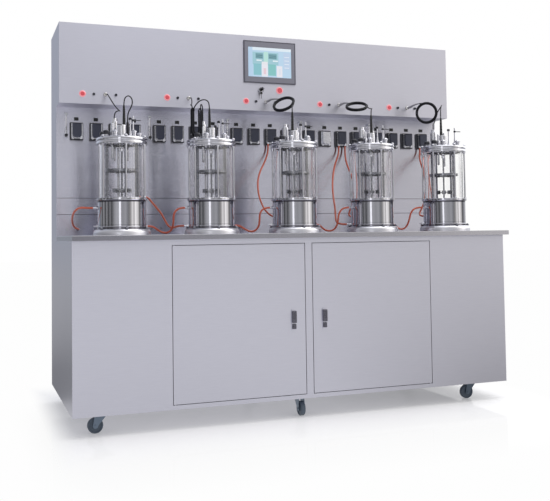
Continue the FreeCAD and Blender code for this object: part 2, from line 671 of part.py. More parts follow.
# Agitator: the shaft with three six-bladed turbines.
def build_agitators():
    for i in STATIONS:
        name = f"agitator_{i + 1}"
        shaft = rod(f"{name}_shaft", "shaft_radius",
                    f"{HEAD_TOP} + can_bore + 20 - shaft_bottom",
                    (0, 0, "shaft_bottom"))
        pieces = [shaft]
        for level in ("impeller_low", "impeller_mid", "impeller_high"):
            pieces.append(rod(f"{name}_{level}_hub", "hub_radius", "blade_height",
                              (0, 0, f"{level} - blade_height / 2")))
            pieces.append(rod(f"{name}_{level}_disc", "impeller_radius - blade_width / 2",
                              "disc_thick", (0, 0, f"{level} - disc_thick / 2")))
            for turn in range(0, 360, 60):
                spin = Rotation(Vector(0, 0, 1), turn)
                x, y, z = around("(impeller_radius - blade_width)", turn,
                                 f"{level} - blade_height / 2")
                blade = box(f"{name}_{level}_blade_{turn}",
                            ("blade_width", "blade_thick", "blade_height"))
                pieces.append(place(blade, x, y, z, spin))
        whole = fuse(f"{name}_whole", *pieces)
        node(name, place(whole, *each_station(TABLE)[i]))


# Drive can: the motor's polished housing on the lid, bored for the shaft's end. A
# rubber boot on its top, beside the axis, holds the motor's cable.
BOOT_SHIFTS = (12, -7, -7, 4, -10)


def build_cans():
    low = HEAD_TOP
    top = f"{HEAD_TOP} + can_height"
    bore = "(shaft_radius + 1)"
    can = turned("drive_can", [
        (bore, low), ("can_foot", low), ("can_foot", f"{low} + can_foot_h"),
        ("can_radius", f"{low} + can_foot_h"), ("can_radius", f"{top} - 3"),
        ("can_radius - 3", top), (0, top), (0, f"{low} + can_bore + 24"),
        (bore, f"{low} + can_bore + 24")])
    node("drive_cans", *copies("can_at", can, each_station(TABLE)))
    boot = turned("cable_boot", [
        (0, 0), ("boot_radius", 0), ("boot_radius * 0.93", "boot_height * 0.6"),
        ("boot_tip", "boot_height"), (0, "boot_height")])
    spots = [(station_x(i, shift), f"{FRONT} + vessel_depth", f"{TABLE} + {top}")
             for i, shift in enumerate(BOOT_SHIFTS)]
    node("cable_boots", *copies("boot_at", boot, spots))


# Probes, ports and valves: three probes through the lid, one in a tall sensor housing,
# one in a screwed gland and one with a slim head; six capped ports, a tap with a knob
# and a lever valve.
PORT_TURNS = (10, 60, 165, 207, 240, 300)
TAP_TURN = 11
VALVE_TURN = 314


def build_head_fittings():
    rod_top = "gland_height + probe_head + 4"
    housing = sleeve("sensor_housing", "sensor_radius", "sensor_height", "sensor_neck",
                     "sensor_height + sensor_neck_h", rod_top)
    slim_head = sleeve("slim_head", "body_radius", "body_height", "body_neck",
                       "body_height + body_neck_h", rod_top)
    gland = turned("probe_gland", [
        ("probe_radius", 0), ("gland_radius", 0), ("gland_radius", "gland_height - 6"),
        ("gland_radius - 2", "gland_height"), ("probe_radius", "gland_height")])
    rod_low = f"{HEAD_TOP} - probe_tip"
    probe = turned("probe_rod", [
        (0, f"0 - ({rod_low})"), ("probe_radius", f"4 - ({rod_low})"),
        ("probe_radius", "gland_height + probe_head"),
        ("probe_radius - 2", rod_top), (0, rod_top)])
    port = turned("lid_port", [
        (0, 0), ("port_radius", 0), ("port_radius", "port_height - port_lip_h"),
        ("port_lip", "port_height - port_lip_h"), ("port_lip", "port_height"),
        ("port_radius - 3", "port_height + 6"), (0, "port_height + 6")])
    foot = [(0, 0), ("valve_foot", 0), ("valve_foot - 1", 18),
            ("valve_stem", "valve_cone")]
    neck = "valve_height - valve_knob_h"
    tap = turned("tap", [*foot, ("valve_stem", neck), ("valve_knob", neck),
                         ("valve_knob", "valve_height"), (0, "valve_height")])
    stem = turned("valve_body", [*foot, ("valve_stem", "valve_height"),
                                 (0, "valve_height")])
    lever = box("valve_lever", ("lever_reach", "6", "4"),
                (0, -3, "valve_height - lever_drop"))
    hub = rod("valve_hub", "6", "10", (0, 0, "valve_height - lever_drop - 3"))
    valve = fuse("lever_valve", stem, lever, hub)
    probes = [on_lid(i, "probe_circle", turn) for i in STATIONS for turn in PROBE_TURNS]
    ports = [on_lid(i, "port_circle", turn) for i in STATIONS for turn in PORT_TURNS]
    node("probes", *copies("housing_at", housing, probes[::3]),
         *copies("gland_at", gland, probes[1::3]),
         *copies("slim_head_at", slim_head, probes[2::3]),
         *copies("probe_at", probe, probes))
    node("lid_ports", *copies("port_at", port, ports),
         *copies("tap_at", tap, [on_lid(i, "tap_circle", TAP_TURN) for i in STATIONS]),
         *copies("valve_at", valve,
                 [on_lid(i, "valve_circle", VALVE_TURN) for i in STATIONS]))


def sleeve(name, radius, height, neck, top, rod_top):
    """A turned housing over a probe's rod, with a narrower neck."""
    return turned(name, [
        ("probe_radius", 0), (radius, 0), (radius, height), (neck, f"{height} + 3"),
        (neck, top), (0, top), (0, rod_top), ("probe_radius", rod_top)])


def on_lid(i, radius, degrees):
    x, y, z = around(radius, degrees, f"{TABLE} + {HEAD_TOP}")
    return (f"{station_x(i)} + {x}", f"{FRONT} + vessel_depth + {y}", z)


# Hose fittings: a hexagon foot with a barb, on the jackets and low on the back panel.
JACKET_BARBS = ((180, "barb_high"), (20, "barb_low"), (160, "barb_low"),
                (110, "barb_rear"), (75, "barb_rear"))


def build_hose_fittings():
    barb = turned("hose_barb", [
        (0, 0), ("hex_radius", 0), ("hex_radius", "hex_length"),
        ("barb_radius", "hex_length"), ("barb_radius", "hex_length + barb_length"),
        (0, "hex_length + barb_length")])
    spots = []
    for i in STATIONS:
        for gap in (0, 1):
            spots.append((station_x(i, f"{gap} * panel_port_gap - panel_port_dx"),
                          f"{FRONT} + tower_front", "panel_port_z", TO_FRONT))
        for turn, level in JACKET_BARBS:
            x, y, z = around("(jacket_radius + seat_gap)", turn, f"{TABLE} + {level}")
            outward = Rotation(Vector(0, 0, 1), turn).multiply(
                Rotation(Vector(0, 1, 0), 90))
            spots.append((f"{station_x(i)} + {x}", f"{FRONT} + vessel_depth + {y}", z,
                          outward))
    node("hose_fittings", *copies("barb_at", barb, spots))


# Casters: a bolted top plate with its kingpin, a swivelling fork and a rubber wheel.
CASTERS = (("front_left", 0, 0, -90), ("front_middle", 1, 0, 0),
           ("front_right", 2, 0, -90), ("rear_left", 0, 1, 120),
           ("rear_middle", 1, 1, 200), ("rear_right", 2, 1, 65))


def kingpin(column, row):
    xs = (f"{LEFT} + caster_inset",
          f"{LEFT} + cab_width / 2 + caster_mid_shift",
          f"{LEFT} + cab_width - caster_inset")
    ys = (f"{FRONT} + caster_setback", f"{FRONT} + cab_depth - caster_setback")
    return xs[column], ys[row]


def build_casters():
    plate = box("caster_plate_box", ("plate_length", "plate_width", "plate_thick"),
                ("0 - plate_length / 2", "0 - plate_width / 2",
                 "cab_bottom - plate_thick"))
    low = "cab_bottom - plate_thick - crown_gap - crown_thick - crown_gap"
    pin = rod("caster_kingpin", "kingpin_radius",
              "crown_thick + 2 * crown_gap + 1", (0, 0, low))
    head = rod("caster_pin_head", "kingpin_radius + 3", "2", (0, 0, f"{low} - 2"))
    mount = fuse("caster_mount", plate, pin, head)
    spots = [(*kingpin(column, row), 0) for _, column, row, _ in CASTERS]
    node("caster_plates", *copies("caster_mount_at", mount, spots))
    crown = bored("fork_crown", "kingpin_radius + pin_clear", "crown_radius",
                  f"{low} + crown_gap", f"{low} + crown_gap + crown_thick")
    legs = []
    for side in (-1, 1):
        middle = f"{side} * (wheel_width / 2 + leg_gap + leg_thick / 2)"
        leg = doc.addObject("Part::Wedge", f"fork_leg_{side}")
        for prop, text in (("Xmin", "0"), ("Xmax", "leg_thick"),
                           ("X2min", "0"), ("X2max", "leg_thick"),
                           ("Ymin", "0"), ("Ymax", f"{low} + crown_gap + 1 - wheel_radius"),
                           ("Zmin", "caster_trail - leg_foot / 2"),
                           ("Zmax", "caster_trail + leg_foot / 2"),
                           ("Z2min", "8 - crown_radius"),
                           ("Z2max", "caster_trail + leg_foot / 2 - 9")):
            leg.setExpression(prop, expr(text))
        place(leg, f"{middle} - leg_thick / 2", 0, "wheel_radius",
              Rotation(Vector(1, 0, 0), 90))
        boss = rod(f"fork_boss_{side}", "leg_foot / 2", "leg_thick",
                   (f"{middle} - leg_thick / 2", "0 - caster_trail", "wheel_radius"),
                   Rotation(Vector(0, 1, 0), 90))
        legs += [leg, boss]
    axle = rod("fork_axle", "axle_radius", "wheel_width + 2 * leg_gap + 2 * leg_thick + 6",
               ("0 - wheel_width / 2 - leg_gap - leg_thick - 3", "0 - caster_trail",
                "wheel_radius"), Rotation(Vector(0, 1, 0), 90))
    fork = fuse("caster_fork", crown, axle, *legs)
    wheel = turned("caster_wheel", [
        ("axle_radius + pin_clear", "0 - wheel_width / 2"),
        ("axle_radius + 8", "0 - wheel_width / 2"),
        ("axle_radius + 9", "3 - wheel_width / 2"),
        ("wheel_radius - tread - 1", "3 - wheel_width / 2"),
        ("wheel_radius - tread", "0 - wheel_width / 2"),
        ("wheel_radius - 3", "0 - wheel_width / 2"),
        ("wheel_radius", "3 - wheel_width / 2"), ("wheel_radius", "wheel_width / 2 - 3"),
        ("wheel_radius - 3", "wheel_width / 2"),
        ("wheel_radius - tread", "wheel_width / 2"),
        ("wheel_radius - tread - 1", "wheel_width / 2 - 3"),
        ("axle_radius + 9", "wheel_width / 2 - 3"),
        ("axle_radius + 8", "wheel_width / 2"),
        ("axle_radius + pin_clear", "wheel_width / 2")])
    for name, column, row, turn in CASTERS:
        x, y = kingpin(column, row)
        spin = Rotation(Vector(0, 0, 1), turn)
        trail = spin.multVec(Vector(0, -1, 0))
        node(f"caster_fork_{name}", *copies(f"fork_{name}", fork, [(x, y, 0, spin)]))
        lay = spin.multiply(Rotation(Vector(0, 1, 0), 90))
        node(f"caster_wheel_{name}", *copies(f"wheel_{name}", wheel, [
            (f"{x} + caster_trail * ({trail.x:.6f})",
             f"{y} + caster_trail * ({trail.y:.6f})", "wheel_radius", lay)]))


# Inside: a water circulation unit for each vessel on the cabinet's floor, and the
# control gear on a plate behind the back panel.
def build_inside():
    case = box("unit_case", ("unit_width", "unit_depth", "unit_height"),
               ("0 - unit_width / 2", 0, 0))
    motor = rod("unit_motor", "unit_motor_r", "unit_motor_h",
                (0, "unit_depth / 2", "unit_height"))
    unit = fuse("unit", case, motor)
    node("circulation_units", *copies("unit_at", unit, [
        (station_x(i), f"{FRONT} + tower_front - unit_back - unit_depth",
         "cab_bottom + wall") for i in STATIONS]))
    middle = f"{LEFT} + cab_width / 2"
    back = f"{FRONT} + cab_depth - wall"
    plate_y = f"{back} - gear_stand - gear_plate"
    plate = box("gear_plate_sheet", ("gear_width", "gear_plate", "gear_height"),
                (f"{middle} - gear_width / 2", plate_y, "gear_z"))
    stands = [rod(f"gear_stand_{x}_{z}", "8", "gear_stand",
                  (f"{middle} + {x} * (gear_width / 2 - 40)", back,
                   f"gear_z + gear_height / 2 + {z} * (gear_height / 2 - 40)"),
                  TO_FRONT) for x in (-1, 1) for z in (-1, 1)]
    boxes = [box(f"gear_box_{i}_{level}", ("gear_pitch - 60", "gear_deep", "gear_box"),
                 (f"{middle} - gear_width / 2 + 60 + {i} * gear_pitch",
                  f"{plate_y} - gear_deep", f"gear_z + 60 + {level} * (gear_box + 90)"))
             for i in range(6) for level in (0, 1)]
    node("control_gear", fuse("control_gear_whole", plate, *stands, *boxes))


# Hoses and cables: each a tube of straight runs joined by tangent arcs. The points are
# millimetres in the object's own frame; those of the jacket links are measured from the
# axis of the vessel that the hose leaves.
JACKET_FEED = [(-1090.3, -305, 1087), (-1122, -305, 1087), (-1149, -292, 1090),
               (-1167, -262, 1081), (-1175, -216, 1063), (-1171, -140, 1045),
               (-1161, -40, 1027), (-1145, 50, 1008), (-1131, 106, 996),
               (-1112, 140, 989), (-1101, 165, 987), (-1101, 193.7, 987)]
JACKET_BYPASS = [(-908.7, -165.6, 1040), (-900.4, -134.7, 1040), (-880, -112, 1066),
                 (-854, -104, 1110), (-830, -101, 1141), (-802, -105, 1156),
                 (-774, -118, 1146), (-756, -130, 1120), (-738, -142, 1096),
                 (-714, -160, 1062), (-699, -180, 1024), (-688, -206, 994),
                 (-669, -230, 984), (-647.5, -244, 995), (-615.6, -255.6, 995)]
JACKET_LINKS = [
    [(135.6, -255.6, 995), (167.5, -244, 995), (194, -238, 975), (220, -246, 960),
     (246, -262, 960), (264, -276, 982), (266, -290, 1017), (264, -300, 1057),
     (288, -305, 1087), (321.7, -305, 1087)],
    [(135.6, -255.6, 995), (167.5, -244, 995), (197, -240, 977), (225, -250, 961),
     (250, -264, 962), (267, -277, 985), (269, -290, 1020), (266, -300, 1059),
     (289, -305, 1087), (321.7, -305, 1087)],
    [(135.6, -255.6, 995), (167.5, -244, 995), (191, -236, 974), (214, -243, 959.5),
     (240, -260, 959.5), (259, -275, 981), (262, -289, 1016), (262, -300, 1056),
     (287, -305, 1087), (321.7, -305, 1087)],
    [(135.6, -255.6, 995), (167.5, -244, 995), (186, -240, 977), (206, -247, 963),
     (227, -261, 966), (240, -276, 990), (245, -289, 1024), (249, -299, 1060),
     (276, -305, 1087), (321.7, -305, 1087)],
]
PUMP_HOSES = [
    [(18.5, 196, 1486), (18.5, 196, 1448), (2, 180, 1405), (-32, 140, 1358),
     (-76, 88, 1306), (-112, 24, 1240), (-128, -42, 1164), (-122, -88, 1102),
     (-104, -118, 1062), (-74.3, -139.3, 1040), (-63.4, -169.4, 1040)],
    [(484.5, 196, 1486), (484.5, 196, 1444), (462, 172, 1409), (423, 124, 1361),
     (387, 70, 1308), (354, 10, 1249), (327, -50, 1193), (308, -104, 1138),
     (294, -152, 1088), (278, -192, 1044), (266, -222, 1009), (284.5, -244, 995),
     (316.4, -255.6, 995)],
    [(526.5, 196, 1486), (526.5, 196, 1448), (518, 174, 1407), (506, 126, 1363),
     (494, 66, 1321), (482, 6, 1277), (463, -52, 1223), (443, -94, 1162),
     (421, -112, 1103), (394, -117, 1058), (391.7, -139.3, 1040), (402.6, -169.4, 1040)],
    [(1057.5, 196, 1486), (1057.5, 196, 1454), (1039, 170, 1423), (1017, 120, 1383),
     (998, 64, 1340), (978, 8, 1292), (951, -46, 1233), (921, -90, 1163),
     (893, -110, 1102), (862, -114, 1058), (857.7, -139.3, 1040), (868.6, -169.4, 1040)],
    [(1099.5, 196, 1486), (1099.5, 196, 1460), (1082, 172, 1438), (1040, 128, 1412),
     (992, 54, 1378), (958, -20, 1330), (942, -76, 1262), (944, -98, 1190),
     (952, -100, 1140), (958, -98, 1104), (964, -108, 1060), (963.6, -134.7, 1040),
     (955.3, -165.6, 1040)],
]
SENSOR_CABLES = [
    [(-968, 47, 1719), (-968, 20, 1719), (-962, -30, 1688), (-950, -90, 1643),
     (-938, -150, 1606), (-932, -197, 1590), (-950, -238, 1588),
     (-973, -247, 1574), (-973, -247, 1545)],
    [(-934, -305, 1600), (-934, -305, 1626), (-926, -303, 1648), (-908, -297, 1658),
     (-891, -290, 1646), (-886, -283, 1622), (-893, -276, 1600), (-904, -265, 1578),
     (-906.6, -254.6, 1556), (-906.6, -254.6, 1526)],
    [(-502, 47, 1719), (-502, 18, 1719), (-516, -60, 1688), (-540, -145, 1650),
     (-566, -225, 1632), (-581, -285, 1628), (-582, -315, 1612), (-582, -315, 1590)],
    [(-538, -315, 1590), (-538, -315, 1612), (-530, -298, 1630), (-516, -268, 1628),
     (-507, -247, 1604), (-507, -247, 1545)],
    [(-487, -305, 1600), (-487, -305, 1628), (-497, -305, 1650), (-524, -305, 1653),
     (-550, -303, 1637), (-570, -298, 1606), (-581, -291, 1564), (-582, -284, 1524),
     (-570.8, -280.7, 1500), (-570.8, -280.7, 1470)],
    [(-36, 47, 1719), (-36, 26, 1719), (-26, 2, 1724), (-8, -18, 1724),
     (20.4, -37.8, 1721.7)],
    [(56.9, -127.9, 1685), (46, -149, 1666), (30, -186, 1656), (8, -236, 1652),
     (-12, -280, 1642), (-21, -305, 1624), (-21, -305, 1600)],
    [(430, 47, 1719), (430, 26, 1719), (436, 1, 1722), (448, -20, 1720),
     (468.1, -31, 1715.1)],
    [(528.9, -111.4, 1690), (524, -142, 1674), (516, -184, 1664), (500, -230, 1656),
     (480, -272, 1650), (456, -305, 1637), (456, -305, 1600)],
    [(896, 47, 1719), (896, 26, 1719), (902, 2, 1726), (908, -24, 1730),
     (916, -52, 1731), (926, -76, 1730), (940.7, -92.3, 1729.4)],
    [(995.5, -113, 1654.5), (990, -110, 1626), (976, -124, 1606), (954, -154, 1596),
     (932, -188, 1590), (910, -220, 1586), (891, -247, 1577), (891, -247, 1545)],
    [(908, -305, 1600), (908, -305, 1632), (914, -296, 1656), (932, -272, 1678),
     (956, -240, 1694), (984, -198, 1701), (1003, -156, 1699), (1006, -128, 1684),
     (996.5, -115.8, 1662)],
]
# The hank that the second station's cable is folded into hangs over its lid.
HANK = [(-582, -315, 1590), (-582, -315, 1466), (-538, -315, 1466), (-538, -315, 1590)]
# Each cable coil: its middle and the direction of its axis.
COILS = [((15, -85, 1685), (-0.506, -0.494, 0.709)),
         ((475, -85, 1690), (-0.212, -0.433, 0.872)),
         ((945, -85, 1670), (-0.508, -0.85, -0.141))]


def tube(points, radius, name):
    """Sweeps a round section along straight runs joined by tangent arcs."""
    spots = [Vector(*point) for point in points]
    edges = []
    radii = []
    start = spots[0]
    for before, corner, after in zip(spots, spots[1:], spots[2:]):
        come = (corner - before).normalize()
        leave = (after - corner).normalize()
        reach = 0.45 * min((corner - before).Length, (after - corner).Length)
        begin = corner - come * reach
        end = corner + leave * reach
        half = come.getAngle(leave) / 2
        bend = reach / math.tan(half)
        middle = (leave - come).normalize()
        centre = corner + middle * math.hypot(bend, reach)
        top = centre - middle * bend
        edges.append(Part.makeLine(start, begin))
        edges.append(Part.Arc(begin, top, end).toShape())
        radii.append(bend)
        start = end
    edges.append(Part.makeLine(start, spots[-1]))
    path = Part.Wire(edges)
    ring = Part.Wire(Part.makeCircle(radius, spots[0], spots[1] - spots[0]))
    solid = path.makePipeShell([ring], True, False, 2)
    section = math.pi * radius * radius * path.Length
    print(f"{name:18s} length {path.Length:7.1f}  least radius {min(radii):5.1f}  "
          f"volume ratio {solid.Volume / section:.4f}")
    return solid


def soft(label, shapes):
    """A sub-part whose shape is given outright."""
    part = doc.addObject("Part::Feature", label)
    part.Shape = shapes[0] if len(shapes) == 1 else Part.Compound(shapes)
    node(label, part)


def build_cords():
    hose = value("hose_radius")
    cable = value("cable_radius")
    soft("jacket_hose_1", [tube(JACKET_FEED, hose, "jacket_feed"),
                           tube(JACKET_BYPASS, hose, "jacket_bypass")])
    for i, route in enumerate(JACKET_LINKS):
        axis = value(station_x(i))
        points = [(axis + x, y, z) for x, y, z in route]
        label = f"jacket_hose_{i + 2}"
        soft(label, [tube(points, hose, label)])
    soft("pump_hoses", [tube(route, hose, "pump_hose") for route in PUMP_HOSES])
    soft("sensor_cables", [tube(route, cable, "cable") for route in SENSOR_CABLES])
    coil, bundle = value("coil_radius"), value("bundle_radius")
    soft("cable_coils", [Part.makeTorus(coil, bundle, Vector(*middle), Vector(*axis))
                         for middle, axis in COILS] + [tube(HANK, bundle, "hank")])


build_cabinet()
for side in ("left", "right"):
    build_door(side)
    build_latch(side)
build_worktop()
build_tower()
build_back_panel()
build_rear_cover()
build_screen()
build_controls()
build_pumps()
build_meters()
build_vessel_bases()
build_glass()
build_heads()
build_rods()
build_cages()
build_agitators()
build_cans()
build_head_fittings()
build_hose_fittings()
build_casters()
build_inside()
build_cords()

doc.recompute()
for obj in doc.Objects:
    if {"Invalid", "Error"} & set(obj.State):
        raise RuntimeError(f"{obj.Name} ({obj.Label}) failed: {obj.State}")
for part in nodes:
    shape = part.Shape
    if shape.isNull() or not shape.isValid() or not shape.Solids:
        raise RuntimeError(f"{part.Label} has no sound shape")
    shape.exportStep(f"parts/{part.Label}.step")
    print(f"{part.Label:28s} solids {len(shape.Solids):3d}  {shape.BoundBox}")
print(len(nodes), "nodes")
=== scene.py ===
"""A five-vessel parallel bioreactor station, dressed in Blender around its CAD frame."""
import math

import bmesh
import bpy
from mathutils import Matrix, Vector


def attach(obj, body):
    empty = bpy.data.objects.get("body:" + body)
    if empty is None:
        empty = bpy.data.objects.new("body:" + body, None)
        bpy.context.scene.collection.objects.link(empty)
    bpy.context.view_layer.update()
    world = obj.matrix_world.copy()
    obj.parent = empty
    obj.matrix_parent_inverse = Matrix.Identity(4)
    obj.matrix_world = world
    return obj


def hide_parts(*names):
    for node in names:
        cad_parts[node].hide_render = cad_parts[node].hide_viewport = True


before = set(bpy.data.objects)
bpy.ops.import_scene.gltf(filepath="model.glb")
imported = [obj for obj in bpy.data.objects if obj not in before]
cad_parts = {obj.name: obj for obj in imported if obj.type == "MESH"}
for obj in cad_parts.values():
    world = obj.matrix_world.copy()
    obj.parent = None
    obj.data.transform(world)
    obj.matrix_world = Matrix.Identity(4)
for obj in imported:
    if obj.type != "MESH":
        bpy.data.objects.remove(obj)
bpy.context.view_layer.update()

# Cabinet: 1.5 mm stainless sheet, folded and welded. Its faces are ground with a fine
# belt whose marks run level round all sides, so that the sheet smears what it mirrors
# up and down.
MM = 0.001
BRIGHT_MARKS = "#D0D0DC"


def linear(code):
    """The linear colour of an sRGB hex code, with full alpha."""
    parts = [int(code[i:i + 2], 16) / 255 for i in (1, 3, 5)]
    return [c / 12.92 if c <= 0.04045 else ((c + 0.055) / 1.055) ** 2.4
            for c in parts] + [1.0]


def wire(tree, kind, inputs=None, **settings):
    """Adds one node, sets it up, and links or sets its inputs."""
    added = tree.nodes.new(kind)
    for name, setting in settings.items():
        setattr(added, name, setting)
    for key, value in (inputs or {}).items():
        if isinstance(value, bpy.types.NodeSocket):
            tree.links.new(value, added.inputs[key])
        else:
            added.inputs[key].default_value = value
    return added


def blank(name):
    """A new material with an empty node tree."""
    made = bpy.data.materials.new(name)
    made.use_nodes = True
    made.node_tree.nodes.clear()
    return made, made.node_tree


def shown(tree, shader):
    """Makes a shader the surface of its material."""
    wire(tree, "ShaderNodeOutputMaterial", {"Surface": shader})


def object_noise(tree, per_metre, detail=2.0):
    """Noise whose grains have these counts per metre along X, Y and Z."""
    place = wire(tree, "ShaderNodeTexCoord").outputs["Object"]
    spread = wire(tree, "ShaderNodeMapping", {"Vector": place, "Scale": per_metre})
    return wire(tree, "ShaderNodeTexNoise",
                {"Vector": spread.outputs["Vector"], "Scale": 1.0, "Detail": detail})


def wandering(tree, marks, low, high):
    """A roughness that wanders between two values as the marks do."""
    return wire(tree, "ShaderNodeMapRange", {
        "Value": marks.outputs["Fac"], "To Min": low, "To Max": high}).outputs["Result"]


def ground_steel(name, code, rough, grain, smear=0.6, edge=None, bands=()):
    """Belt-ground sheet, its grain in marks per metre along X, Y and Z. The marks smear
    reflections up and down on upright faces, and to the front and back on level ones.
    Upright faces may run from a painted darker tone at the left to a painted lighter one
    at the right, and may have level bands (low, high, colour) of painted shade or painted
    highlight where folds, grooves and edges lose or catch the light."""
    made, tree = blank(name)
    streaks = object_noise(tree, grain, 3.0)
    # The sheet is never quite flat: it swells and sinks over some 600 mm.
    sag = object_noise(tree, (1.6, 1.6, 1.6), 1.0)
    dents = wire(tree, "ShaderNodeBump",
                 {"Height": sag.outputs["Fac"], "Strength": 0.5, "Distance": 0.003})
    lines = wire(tree, "ShaderNodeBump",
                 {"Height": streaks.outputs["Fac"], "Normal": dents.outputs["Normal"],
                  "Strength": 0.2, "Distance": 0.0003})
    tone = wire(tree, "ShaderNodeMix", {
        "Factor": streaks.outputs["Fac"], "A": linear(code),
        "B": linear(BRIGHT_MARKS)}, data_type="RGBA")
    facing = wire(tree, "ShaderNodeSeparateXYZ",
                  {"Vector": wire(tree, "ShaderNodeNewGeometry").outputs["Normal"]})
    level = wire(tree, "ShaderNodeMath", {0: facing.outputs["Z"], 1: 0.7},
                 operation="GREATER_THAN").outputs["Value"]
    upright = wire(tree, "ShaderNodeMath", {0: 1.0, 1: level}, operation="SUBTRACT")
    across = wire(tree, "ShaderNodeCombineXYZ", {"X": 0.0, "Y": level,
                                                 "Z": upright.outputs["Value"]})
    place = wire(tree, "ShaderNodeSeparateXYZ",
                 {"Vector": wire(tree, "ShaderNodeTexCoord").outputs["Object"]})
    if edge:
        # The left tone is painted shade and the right one a painted lighter tone; the
        # second tone has its full strength from 1 m right of the middle.
        along = wire(tree, "ShaderNodeMapRange", {
            "Value": place.outputs["X"], "From Min": -1.2, "From Max": 1.0})
        painted_edge_shading = wire(tree, "ShaderNodeMix", {
            "Factor": along.outputs["Result"], "A": linear(edge[0]),
            "B": linear(edge[1])}, data_type="RGBA")
        tone = wire(tree, "ShaderNodeMix", {
            "Factor": level, "A": painted_edge_shading.outputs["Result"],
            "B": tone.outputs["Result"]}, data_type="RGBA")
    # Each band paints shade or a highlight on upright faces at its height.
    for low, high, shade in bands:
        band = wire(tree, "ShaderNodeMath", {
            0: place.outputs["Z"], 1: (low + high) / 2 * MM, 2: (high - low) / 2 * MM},
            operation="COMPARE")
        chosen = wire(tree, "ShaderNodeMath", {0: band.outputs["Value"],
                                               1: upright.outputs["Value"]},
                      operation="MULTIPLY")
        tone = wire(tree, "ShaderNodeMix", {
            "Factor": chosen.outputs["Value"], "A": tone.outputs["Result"],
            "B": linear(shade)}, data_type="RGBA")
    steel = wire(tree, "ShaderNodeBsdfPrincipled", {
        "Base Color": tone.outputs["Result"], "Metallic": 1.0,
        "Roughness": wandering(tree, streaks, rough - 0.03, rough + 0.03),
        "Anisotropic": smear, "Tangent": across.outputs["Vector"],
        "Normal": lines.outputs["Normal"]})
    shown(tree, steel.outputs["BSDF"])
    return made


def dress(material, *names):
    """Gives CAD nodes their real finish."""
    for name in names:
        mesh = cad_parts[name].data
        mesh.materials.clear()
        mesh.materials.append(material)


ground_sheet = ground_steel("ground_stainless_sheet", "#C3C3D0", 0.36, (14, 14, 700))
dress(ground_sheet, "cabinet_shell")

# Doors: two sheet pans on pivot pins in the cabinet's front, each with a screwed-on
# latch plate and a key barrel, from the same ground sheet as the cabinet.
dress(ground_sheet, "door_left", "door_right")

# Latches: zinc levers, die-cast and dark chrome-plated, on the doors' plates. Each lever
# lies upright over its key barrel.


def polished_steel(name, code, rough):
    """Metal turned and polished; very fine ring marks blur what it mirrors."""
    made, tree = blank(name)
    marks = object_noise(tree, (60, 60, 900), 2.0)
    steel = wire(tree, "ShaderNodeBsdfPrincipled", {
        "Base Color": linear(code), "Metallic": 1.0,
        "Roughness": wandering(tree, marks, rough * 0.7, rough * 1.3),
        "Normal": wire(tree, "ShaderNodeBump", {
            "Height": marks.outputs["Fac"], "Strength": 0.1,
            "Distance": 0.0001}).outputs["Normal"]})
    shown(tree, steel.outputs["BSDF"])
    return made


latch_chrome = polished_steel("cast_zinc_chrome_plated", "#62616B", 0.26)
dress(latch_chrome, "latch_left", "latch_right")

# Worktop: a steel skin pressed over a board, ground lengthwise and polished finer than
# the cabinet, so that it mirrors the vessels that stand on it. Its front edge carries
# painted shade along its foot, a painted highlight along its upper rim, and a painted
# gradient from darker at the left end to lighter at the right.
WORKTOP_FOOT_PAINTED_SHADE = (900, 924, "#55545D")
WORKTOP_RIM_PAINTED_HIGHLIGHT = (948, 951, "#E0E0E6")
dress(ground_steel("ground_stainless_worktop", "#B9B8C2", 0.22, (9, 500, 500),
                   edge=("#87868F", "#BDBCC4"), bands=(WORKTOP_FOOT_PAINTED_SHADE, WORKTOP_RIM_PAINTED_HIGHLIGHT)),
      "worktop")

# Tower: folded sheet housing whose upper part juts forward as the console, a satin back
# panel behind the vessels and a plain cover at the rear. Two grooves show where a cover
# strip is let into the panel, and their dark lines are painted shade.
STRIP_GROOVE_PAINTED_SHADE = [(level - 1.5, level + 1.5, "#6A6974") for level in (1069, 1160)]
dress(ground_sheet, "tower_housing", "rear_cover")
dress(ground_steel("satin_stainless_panel", "#BDBDCA", 0.23, (16, 16, 500), 0.97,
                   bands=STRIP_GROOVE_PAINTED_SHADE), "back_panel")

# Touch screen: a moulded grey bezel with a darker rim round a glass-fronted display.
# The display shows a plain process picture: tinted panes, vessel outlines and a list.
BEZEL_SIZE = (322, 247)
BEZEL_AT = (-11, 62, 1951)
RIM_WIDTH = 4
FRONT_INSET = 6
VIEW_SIZE = (268, 174)
CONSOLE_Y = 69


def pack(name, bm, material, body, slot, *nodes):
    """Makes the finished piece from a bmesh in millimetres and puts it on its body."""
    bmesh.ops.scale(bm, verts=bm.verts, vec=(MM, MM, MM))
    bmesh.ops.recalc_face_normals(bm, faces=bm.faces)
    mesh = bpy.data.meshes.new(name)
    bm.to_mesh(mesh)
    bm.free()
    for face in mesh.polygons:
        face.use_smooth = True
    mesh.set_sharp_from_angle(angle=math.radians(32))
    made = bpy.data.objects.new(name, mesh)
    bpy.context.scene.collection.objects.link(made)
    mesh.materials.append(material)
    made.modifiers.new("weighted_normals", "WEIGHTED_NORMAL").keep_sharp = True
    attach(made, body)
    if nodes:
        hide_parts(*nodes)
    return made


def block(bm, low, high, bevel=0.0, segments=2, pick=None):
    """A box between two corners, its edges rounded, or those that 'pick' chooses."""
    size = [b - a for a, b in zip(low, high)]
    middle = [(a + b) / 2 for a, b in zip(low, high)]
    made = bmesh.ops.create_cube(bm, size=1)["verts"]
    bmesh.ops.scale(bm, verts=made, vec=size)
    bmesh.ops.translate(bm, verts=made, vec=middle)
    if bevel:
        edges = {edge for vert in made for edge in vert.link_edges}
        chosen = [edge for edge in edges if pick is None or pick(edge)]
        bmesh.ops.bevel(bm, geom=chosen, offset=bevel, offset_type="OFFSET",
                        segments=segments, profile=0.5, affect="EDGES", material=-1)
    return made


def depthwise(edge):
    """Edges that run front to back."""
    a, b = (vert.co for vert in edge.verts)
    return abs((a - b).normalized().y) > 0.99


